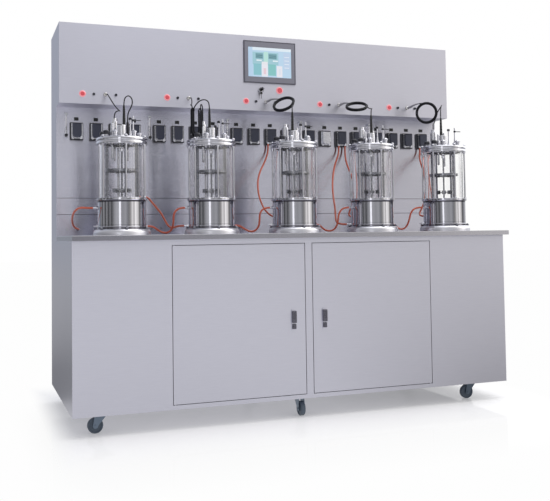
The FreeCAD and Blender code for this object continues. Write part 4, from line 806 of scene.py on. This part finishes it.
PUMP_HOSES = [
    [(18.5, 196, 1486), (18.5, 196, 1448), (2, 180, 1405), (-32, 140, 1358),
     (-76, 88, 1306), (-112, 24, 1240), (-128, -42, 1164), (-122, -88, 1102),
     (-104, -118, 1062), (-74.3, -139.3, 1040), (-63.4, -169.4, 1040)],
    [(484.5, 196, 1486), (484.5, 196, 1444), (462, 172, 1409), (423, 124, 1361),
     (387, 70, 1308), (354, 10, 1249), (327, -50, 1193), (308, -104, 1138),
     (294, -152, 1088), (278, -192, 1044), (266, -222, 1009), (284.5, -244, 995),
     (316.4, -255.6, 995)],
    [(526.5, 196, 1486), (526.5, 196, 1448), (518, 174, 1407), (506, 126, 1363),
     (494, 66, 1321), (482, 6, 1277), (463, -52, 1223), (443, -94, 1162),
     (421, -112, 1103), (394, -117, 1058), (391.7, -139.3, 1040), (402.6, -169.4, 1040)],
    [(1057.5, 196, 1486), (1057.5, 196, 1454), (1039, 170, 1423), (1017, 120, 1383),
     (998, 64, 1340), (978, 8, 1292), (951, -46, 1233), (921, -90, 1163),
     (893, -110, 1102), (862, -114, 1058), (857.7, -139.3, 1040), (868.6, -169.4, 1040)],
    [(1099.5, 196, 1486), (1099.5, 196, 1460), (1082, 172, 1438), (1040, 128, 1412),
     (992, 54, 1378), (958, -20, 1330), (942, -76, 1262), (944, -98, 1190),
     (952, -100, 1140), (958, -98, 1104), (964, -108, 1060), (963.6, -134.7, 1040),
     (955.3, -165.6, 1040)],
]


def lay_cord(name, route, width, length, material, slot, stiffness, *nodes):
    """A hose or cable: one smooth spline whose control points are the route's."""
    curve = bpy.data.curves.new(name, "CURVE")
    curve.dimensions = "3D"
    curve.bevel_depth = width / 2 * MM
    curve.bevel_resolution = 4
    curve.resolution_u = 6
    curve.use_fill_caps = True
    line = curve.splines.new("NURBS")
    line.points.add(len(route) - 1)
    for point, (x, y, z) in zip(line.points, route):
        point.co = (x * MM, y * MM, z * MM, 1)
    line.order_u = 3
    line.use_endpoint_u = True
    made = bpy.data.objects.new(name, curve)
    bpy.context.scene.collection.objects.link(made)
    curve.materials.append(material)
    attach(made, "station")
    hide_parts(*nodes)


def lay_hose(name, route, length, node):
    """A silicone hose laid along its route."""
    lay_cord(name, route, HOSE, length, silicone, "hose_silicone", "medium", node)


lay_hose("coolant_feed_hose", JACKET_FEED, FEED_LENGTH, "jacket_hose_1")
lay_hose("jacket_bypass_hose", JACKET_BYPASS, BYPASS_LENGTH, "jacket_hose_1")
for number, route in enumerate(JACKET_LINKS, 2):
    axis = STATION_X[number - 2]
    lay_hose(f"jacket_link_hose_{number}", [(axis + x, y, z) for x, y, z in route],
             LINK_LENGTH, f"jacket_hose_{number}")
for number, (route, length) in enumerate(zip(PUMP_HOSES, DOSING_LENGTHS), 1):
    lay_hose(f"dosing_hose_{number}", route, length, "pump_hoses")

# Cables: black PVC leads from the console's plugs to probes and drive cans. The spare
# length of the last three stations is wound in a ring of turns that hangs on the lead,
# and the second station's is folded into a hank.
cable_pvc, tree = blank("pvc_black")
wipe = object_noise(tree, (70, 70, 70), 2.0)
jacket = wire(tree, "ShaderNodeBsdfPrincipled", {
    "Base Color": linear("#0A0A14"),
    "Roughness": wandering(tree, wipe, 0.4, 0.52),
    "Specular IOR Level": 0.25})
shown(tree, jacket.outputs["BSDF"])
CABLE = 6
COIL_RADIUS = 60
COIL_TURNS = 5
COIL_STEP = 24
BUNDLE = 6.0
BUNDLE_WIND = 5.5


def coil_turns(middle, axis, enter, leave):
    """Control points of the turns: they run back round the ring and wind in a bundle,
    once round its thickness in so many turns. Angles are in degrees from the level."""
    normal = Vector(axis).normalized()
    level = Vector((0, 0, 1)).cross(normal).normalized()
    rise = normal.cross(level)
    sweep = (enter - leave) % 360 + 360 * COIL_TURNS
    count = math.ceil(sweep / COIL_STEP)
    points = []
    for k in range(1, count):
        run = sweep * k / count
        angle = math.radians(enter - run)
        lie = math.radians(run / BUNDLE_WIND)
        out = level * math.cos(angle) + rise * math.sin(angle)
        radius = COIL_RADIUS + BUNDLE * math.cos(lie)
        points.append(tuple(Vector(middle) + out * radius
                            + normal * (BUNDLE * math.sin(lie))))
    return points


STRAIGHT_CABLES = [
    [(-968, 47, 1719), (-968, 20, 1719), (-962, -30, 1688), (-950, -90, 1643),
     (-938, -150, 1606), (-932, -197, 1590), (-950, -238, 1588),
     (-973, -247, 1574), (-973, -247, 1545)],
    [(-934, -305, 1600), (-934, -305, 1626), (-926, -303, 1648), (-908, -297, 1658),
     (-891, -290, 1646), (-886, -283, 1622), (-893, -276, 1600), (-904, -265, 1578),
     (-906.6, -254.6, 1556), (-906.6, -254.6, 1526)],
    [(-487, -305, 1600), (-487, -305, 1628), (-497, -305, 1650), (-524, -305, 1653),
     (-550, -303, 1637), (-570, -298, 1606), (-581, -291, 1564), (-582, -284, 1524),
     (-570.8, -280.7, 1500), (-570.8, -280.7, 1470)],
]
# The hank's strands run down, across and up again beside each other, and small loops at
# the top lead from one to the next.
HANK_X, HANK_Y, HANK_TOP = -582, -315, 1590
HANK_WIDTH = 44
HANK_LEVELS = (0, -40, -80, -124)
HANK = [(0, z) for z in HANK_LEVELS] + [(HANK_WIDTH, z) for z in reversed(HANK_LEVELS)]
STRANDS = [(0, 0), (6.4, 1.2), (-6.4, 1.4), (9.4, 4.2), (-2.6, -4.6)]
LOOP_HALF = 6
folded = [(-502, 47, 1719), (-502, 18, 1719), (-516, -60, 1688), (-540, -145, 1650),
          (-566, -225, 1632), (-581, -285, 1628), (-582, -315, 1612)]
for number, (dx, dy) in enumerate(STRANDS):
    lie = HANK_Y + dy
    # A strand that lies further in is narrower, and its foot is higher.
    strand = [(HANK_X + x + dx * (1 - 2 * x / HANK_WIDTH), lie,
               HANK_TOP + z + dx * (z < -100)) for x, z in HANK]
    if number % 2:
        strand.reverse()
    if number:
        before, after = folded[-1][0], strand[0][0]
        middle = (before + after) / 2
        swing = math.copysign(max(abs(before - after) / 2, LOOP_HALF), before - after)
        folded += [(middle + swing, lie, HANK_TOP + 4), (middle, lie, HANK_TOP + 16),
                   (middle - swing, lie, HANK_TOP + 4)]
    folded += strand
folded += [(-538, -315, 1612), (-530, -298, 1630), (-516, -268, 1628),
           (-507, -247, 1604), (-507, -247, 1545)]
# way to the ring; its middle, axis and the angles where the lead comes and goes; way on
COILED_CABLES = [
    ([(-36, 47, 1719), (-36, 26, 1719), (-26, 2, 1724), (-8, -18, 1724),
      (20.4, -37.8, 1721.7)], ((15, -85, 1685), (-0.506, -0.494, 0.709), 120, 0),
     [(56.9, -127.9, 1685), (46, -149, 1666), (30, -186, 1656), (8, -236, 1652),
      (-12, -280, 1642), (-21, -305, 1624), (-21, -305, 1600)]),
    ([(430, 47, 1719), (430, 26, 1719), (436, 1, 1722), (448, -20, 1720),
      (468.1, -31, 1715.1)], ((475, -85, 1690), (-0.212, -0.433, 0.872), 120, 0),
     [(528.9, -111.4, 1690), (524, -140, 1674), (516, -184, 1664), (500, -230, 1656),
      (480, -272, 1650), (456, -305, 1637), (456, -305, 1600)]),
    ([(896, 47, 1719), (896, 26, 1719), (902, 2, 1726), (908, -24, 1730),
      (916, -52, 1731), (926, -76, 1730), (940.7, -92.3, 1729.4)],
     ((945, -85, 1670), (-0.508, -0.85, -0.141), 90, 345),
     [(995.5, -113, 1654.5), (990, -110, 1626), (976, -124, 1606), (954, -154, 1596),
      (932, -188, 1590), (910, -220, 1586), (891, -247, 1577), (891, -247, 1545)]),
]
MOTOR_LEAD = [(908, -305, 1600), (908, -305, 1632), (914, -296, 1656), (932, -272, 1678),
              (956, -240, 1694), (984, -198, 1701), (1003, -156, 1699),
              (1006, -128, 1684), (996.5, -115.8, 1662)]
STRAIGHT_LENGTHS = (0.380, 0.219, 0.284)
COILED_LENGTH = 2.36
FOLDED_LENGTH = 2.1
LEAD_LENGTH = 0.291


def lay_cable(name, route, length, *nodes):
    """A black lead, which stands for its piece of the sensor cables."""
    lay_cord(name, route, CABLE, length, cable_pvc, "cable_jacket", "limp",
             "sensor_cables", *nodes)


for number, (route, length) in enumerate(zip(STRAIGHT_CABLES, STRAIGHT_LENGTHS), 1):
    lay_cable(f"head_cable_{number}", route, length)
for number, (come, coil, leave) in enumerate(COILED_CABLES, 3):
    lay_cable(f"coiled_cable_{number}", come + coil_turns(*coil) + leave, COILED_LENGTH,
              "cable_coils")
lay_cable("folded_cable_2", folded, FOLDED_LENGTH, "cable_coils")
# A moulded grey sleeve tapers off each plug along the first bend of its coiled lead.
SLEEVE = (7.5, 7, 5.5, 4.2, 3.3)
last = len(SLEEVE) - 1
bm = bmesh.new()
for come, _, _ in COILED_CABLES:
    rings = []
    for k, radius in enumerate(SLEEVE):
        ahead = Vector(come[min(k + 1, last)]) - Vector(come[max(k - 1, 0)])
        stand = (Matrix.Translation(come[k])
                 @ ahead.to_track_quat("Z", "Y").to_matrix().to_4x4())
        ring = bmesh.ops.create_circle(bm, cap_ends=k in (0, last), segments=20,
                                       radius=radius, matrix=stand)["verts"]
        rings.append([edge for edge in bm.edges
                      if edge.verts[0] in ring and edge.verts[1] in ring])
    for pair in zip(rings, rings[1:]):
        bmesh.ops.bridge_loops(bm, edges=pair[0] + pair[1])
pack("plug_sleeves", bm, moulded("pvc_grey_sleeve", "#8B8B93", 0.4), "station",
     "cable_jacket")
lay_cable("motor_lead_5", MOTOR_LEAD, LEAD_LENGTH)

# Floor: a seamless white studio floor. It keeps the shadow under the cabinet, mirrors
# the object faintly in front of it, and runs out to plain white.
FOOT_X, FOOT_Y = 1.17, 0.5
FLOOR_REACH = 30
bm = bmesh.new()
bmesh.ops.create_grid(bm, x_segments=1, y_segments=1, size=FLOOR_REACH)
mesh = bpy.data.meshes.new("studio_floor")
bm.to_mesh(mesh)
bm.free()
floor = bpy.data.objects.new("studio_floor", mesh)
bpy.context.scene.collection.objects.link(floor)
floor_white, tree = blank("studio_floor_white")
spot = wire(tree, "ShaderNodeSeparateXYZ",
            {"Vector": wire(tree, "ShaderNodeTexCoord").outputs["Object"]})


def reach(axis, half, fade):
    """0 inside the footprint along an axis, growing to 1 over the fade."""
    size = wire(tree, "ShaderNodeMath", {0: spot.outputs[axis]}, operation="ABSOLUTE")
    return wire(tree, "ShaderNodeMapRange", {
        "Value": size.outputs["Value"], "From Min": half, "From Max": half + fade},
        interpolation_type="SMOOTHSTEP").outputs["Result"]


def fading(axis, start, end, low, high):
    """Runs from low to high between two places along an axis of the floor."""
    return wire(tree, "ShaderNodeMapRange", {
        "Value": spot.outputs[axis], "From Min": start, "From Max": end, "To Min": low,
        "To Max": high}).outputs["Result"]


def together(share, *others):
    """Shares of brightness, multiplied with each other."""
    for other in others:
        share = wire(tree, "ShaderNodeMath", {0: share, 1: other},
                     operation="MULTIPLY").outputs["Value"]
    return share


away = wire(tree, "ShaderNodeMath", {0: reach("X", FOOT_X, 0.16),
                                     1: reach("Y", FOOT_Y, 0.6)},
            operation="MAXIMUM").outputs["Value"]
matt = wire(tree, "ShaderNodeBsdfDiffuse", {"Color": linear("#F2F2F5")})
white = wire(tree, "ShaderNodeEmission", {"Color": linear("#FFFFFF"), "Strength": 0.99})
open_floor = wire(tree, "ShaderNodeMixShader", {
    0: wire(tree, "ShaderNodeMapRange", {
        "Value": away, "To Min": 0.25, "To Max": 1.0}).outputs["Result"],
    1: matt.outputs["BSDF"], 2: white.outputs["Emission"]})
mirror = wire(tree, "ShaderNodeBsdfGlossy", {"Color": linear("#FFFFFF"),
                                             "Roughness": 0.03})
# The wax's gloss fades out in front of the object, behind it and past its two ends.
ends = wire(tree, "ShaderNodeMath", {0: 1.0, 1: reach("X", FOOT_X, 0.3)},
            operation="SUBTRACT")
gloss = together(ends.outputs["Value"], fading("Y", -1.5, -0.5, 0.0, 0.13),
                 fading("Y", -0.1, 0.5, 1.0, 0.0))
waxed = wire(tree, "ShaderNodeMixShader", {
    0: gloss, 1: open_floor.outputs["Shader"], 2: mirror.outputs["BSDF"]})
# What polished metal sees of the floor: pale on the left, dimmer to the right and
# behind, and brighter far out in front. The lean is the slope to a spot, seen from 0.5 m
# behind the middle.
lean = wire(tree, "ShaderNodeMath", {
    0: spot.outputs["X"],
    1: wire(tree, "ShaderNodeMath", {0: 0.5, 1: spot.outputs["Y"]},
            operation="SUBTRACT").outputs["Value"]}, operation="DIVIDE")
tone = wire(tree, "ShaderNodeMapRange", {
    "Value": lean.outputs["Value"], "From Min": 0.2, "From Max": 1.0, "To Min": 0.93,
    "To Max": 0.38})
seen = together(tone.outputs["Result"], fading("Y", -0.4, 0.6, 1.0, 0.6),
                fading("Y", -5.0, -0.8, 1.2, 0.88))
pale = wire(tree, "ShaderNodeEmission", {"Color": linear("#FFFFFF"), "Strength": seen})
rays = wire(tree, "ShaderNodeLightPath")
mirrored = wire(tree, "ShaderNodeMath", {0: rays.outputs["Glossy Depth"], 1: 0.5},
                operation="GREATER_THAN")
whole = wire(tree, "ShaderNodeMixShader", {0: mirrored.outputs["Value"],
                                           1: waxed.outputs["Shader"],
                                           2: pale.outputs["Emission"]})
shown(tree, whole.outputs["Shader"])
mesh.materials.append(floor_white)

# Surround: white to the eye and through glass. Metal sees a studio: dim strips low on
# the left, a bright warm wall low on the right, and an even glow higher up.
world = bpy.data.worlds.new("studio")
bpy.context.scene.world = world
world.use_nodes = True
tree = world.node_tree
tree.nodes.clear()
rays = wire(tree, "ShaderNodeLightPath")
heading = wire(tree, "ShaderNodeSeparateXYZ",
               {"Vector": wire(tree, "ShaderNodeTexCoord").outputs["Generated"]})
forward = wire(tree, "ShaderNodeMath", {0: heading.outputs["Y"], 1: -1.0},
               operation="MULTIPLY")
bearing = wire(tree, "ShaderNodeMath", {0: heading.outputs["X"],
                                        1: forward.outputs["Value"]},
               operation="ARCTAN2")
share = wire(tree, "ShaderNodeMapRange", {
    "Value": bearing.outputs["Value"], "From Min": -math.pi, "From Max": math.pi})
# bearing in degrees from the front toward the right, and brightness there
LOW_WALLS = ((-180, 0.4), (-166, 0.4), (-152, 0.5), (-136, 0.25), (-124, 0.35),
             (-116, 0.07), (-106, 0.45), (-96, 0.04), (-87, 0.4), (-78, 0.05),
             (-68, 0.3), (-60, 0.08), (-46, 0.42), (-34, 0.6), (-22, 0.5), (-8, 0.42),
             (6, 0.5), (18, 0.28), (27, 0.34), (34, 0.7), (41, 1.2),
             (45, 0.8), (50, 0.65), (54, 1.4), (60, 1.4), (64, 0.9), (70, 1.1),
             (76, 0.4), (84, 0.14), (112, 0.6), (142, 0.9), (180, 0.4))
HIGH_WALLS = ((-180, 0.42), (-166, 0.42), (-150, 0.9), (-100, 0.5), (-45, 0.55),
              (-12, 0.58), (8, 0.64), (18, 0.72), (30, 0.88), (45, 1.25), (58, 2.3),
              (100, 2.3), (140, 1.6), (160, 0.6), (180, 0.42))
FULL = 2.3
WARM, NEUTRAL, COOL = 0.06, -0.01, -0.13


def room(levels):
    """The walls' brightness round the object, as shares of the brightest. The bright
    wall on the right is warm and the one at the back left is cool."""
    walls = wire(tree, "ShaderNodeValToRGB", {"Fac": share.outputs["Result"]})
    stops = walls.color_ramp.elements
    stops.remove(stops[-1])
    for k, (degrees, level) in enumerate(levels):
        place = degrees / 360 + 0.5
        stop = stops[0] if k == 0 else stops.new(place)
        stop.position = place
        warm = WARM if 20 < degrees < 80 else COOL if degrees < -130 else NEUTRAL
        stop.color = (level * (1 + warm / 2) / FULL, level / FULL,
                      level * (1 - warm) / FULL, 1)
    return walls.outputs["Color"]


rise = wire(tree, "ShaderNodeMapRange", {
    "Value": heading.outputs["Z"], "From Min": 0.06, "From Max": 0.15},
    interpolation_type="SMOOTHSTEP")
walls = wire(tree, "ShaderNodeMix", {"Factor": rise.outputs["Result"],
                                     "A": room(LOW_WALLS), "B": room(HIGH_WALLS)},
             data_type="RGBA")
studio = wire(tree, "ShaderNodeVectorMath", {0: walls.outputs["Result"], "Scale": FULL},
              operation="SCALE")
straight = wire(tree, "ShaderNodeMath", {0: rays.outputs["Glossy Depth"], 1: 0.5},
                operation="LESS_THAN")
through_glass = wire(tree, "ShaderNodeMath", {
    0: rays.outputs["Is Transmission Ray"], 1: straight.outputs["Value"]},
    operation="MULTIPLY")
plain_view = wire(tree, "ShaderNodeMath", {
    0: rays.outputs["Is Camera Ray"], 1: through_glass.outputs["Value"]},
    operation="MAXIMUM")
backdrop = wire(tree, "ShaderNodeMix", {
    "Factor": plain_view.outputs["Value"], "A": studio.outputs["Vector"],
    "B": (1, 1, 1, 1)}, data_type="RGBA")
sky = wire(tree, "ShaderNodeBackground", {"Color": backdrop.outputs["Result"],
                                          "Strength": 1.0})
wire(tree, "ShaderNodeOutputWorld", {"Surface": sky.outputs["Background"]})


# Lamps: a wide softbox overhead and a tall one beside the camera, whose mirror image
# is the bright stripe down the middle of each vessel.
def softbox(name, at, look, size, power):
    """A rectangular lamp of so many metres and watts, turned to a place."""
    lamp = bpy.data.lights.new(name, "AREA")
    lamp.shape = "RECTANGLE"
    lamp.size, lamp.size_y = size
    lamp.energy = power
    made = bpy.data.objects.new(name, lamp)
    bpy.context.scene.collection.objects.link(made)
    made.location = at
    aim = Vector(look) - Vector(at)
    made.rotation_euler = aim.to_track_quat("-Z", "Y").to_euler()


softbox("softbox_overhead", (0.6, -1.0, 4.6), (0.0, 0.0, 0.9), (4.5, 3.0), 60)
softbox("softbox_camera", (-2.6, -4.9, 1.4), (0.0, 0.0, 1.2), (0.8, 2.4), 6.5)

# Camera: it stands left of the middle, level with the worktop, and looks a little up.
# The lens is longer than normal, and its shift brings the casters into view.
CAMERA_AT = (-1.674, -4.465, 0.942)
YAW, PITCH, ROLL = (math.radians(angle) for angle in (20.39, 2.54, -0.80))
ahead = Vector((math.sin(YAW) * math.cos(PITCH), math.cos(YAW) * math.cos(PITCH),
                math.sin(PITCH)))
level_right = Vector((math.cos(YAW), -math.sin(YAW), 0))
level_up = level_right.cross(ahead)
right = level_right * math.cos(ROLL) + level_up * math.sin(ROLL)
up = level_up * math.cos(ROLL) - level_right * math.sin(ROLL)
lens = bpy.data.cameras.new("camera")
lens.sensor_fit = "HORIZONTAL"
lens.sensor_width = 36
lens.lens = 54.255
lens.shift_y = -0.0955
camera = bpy.data.objects.new("camera", lens)
bpy.context.scene.collection.objects.link(camera)
turn = Matrix((right, up, -ahead)).transposed()
camera.matrix_world = Matrix.Translation(CAMERA_AT) @ turn.to_4x4()
bpy.context.scene.camera = camera
bpy.context.scene.view_settings.view_transform = "Standard"
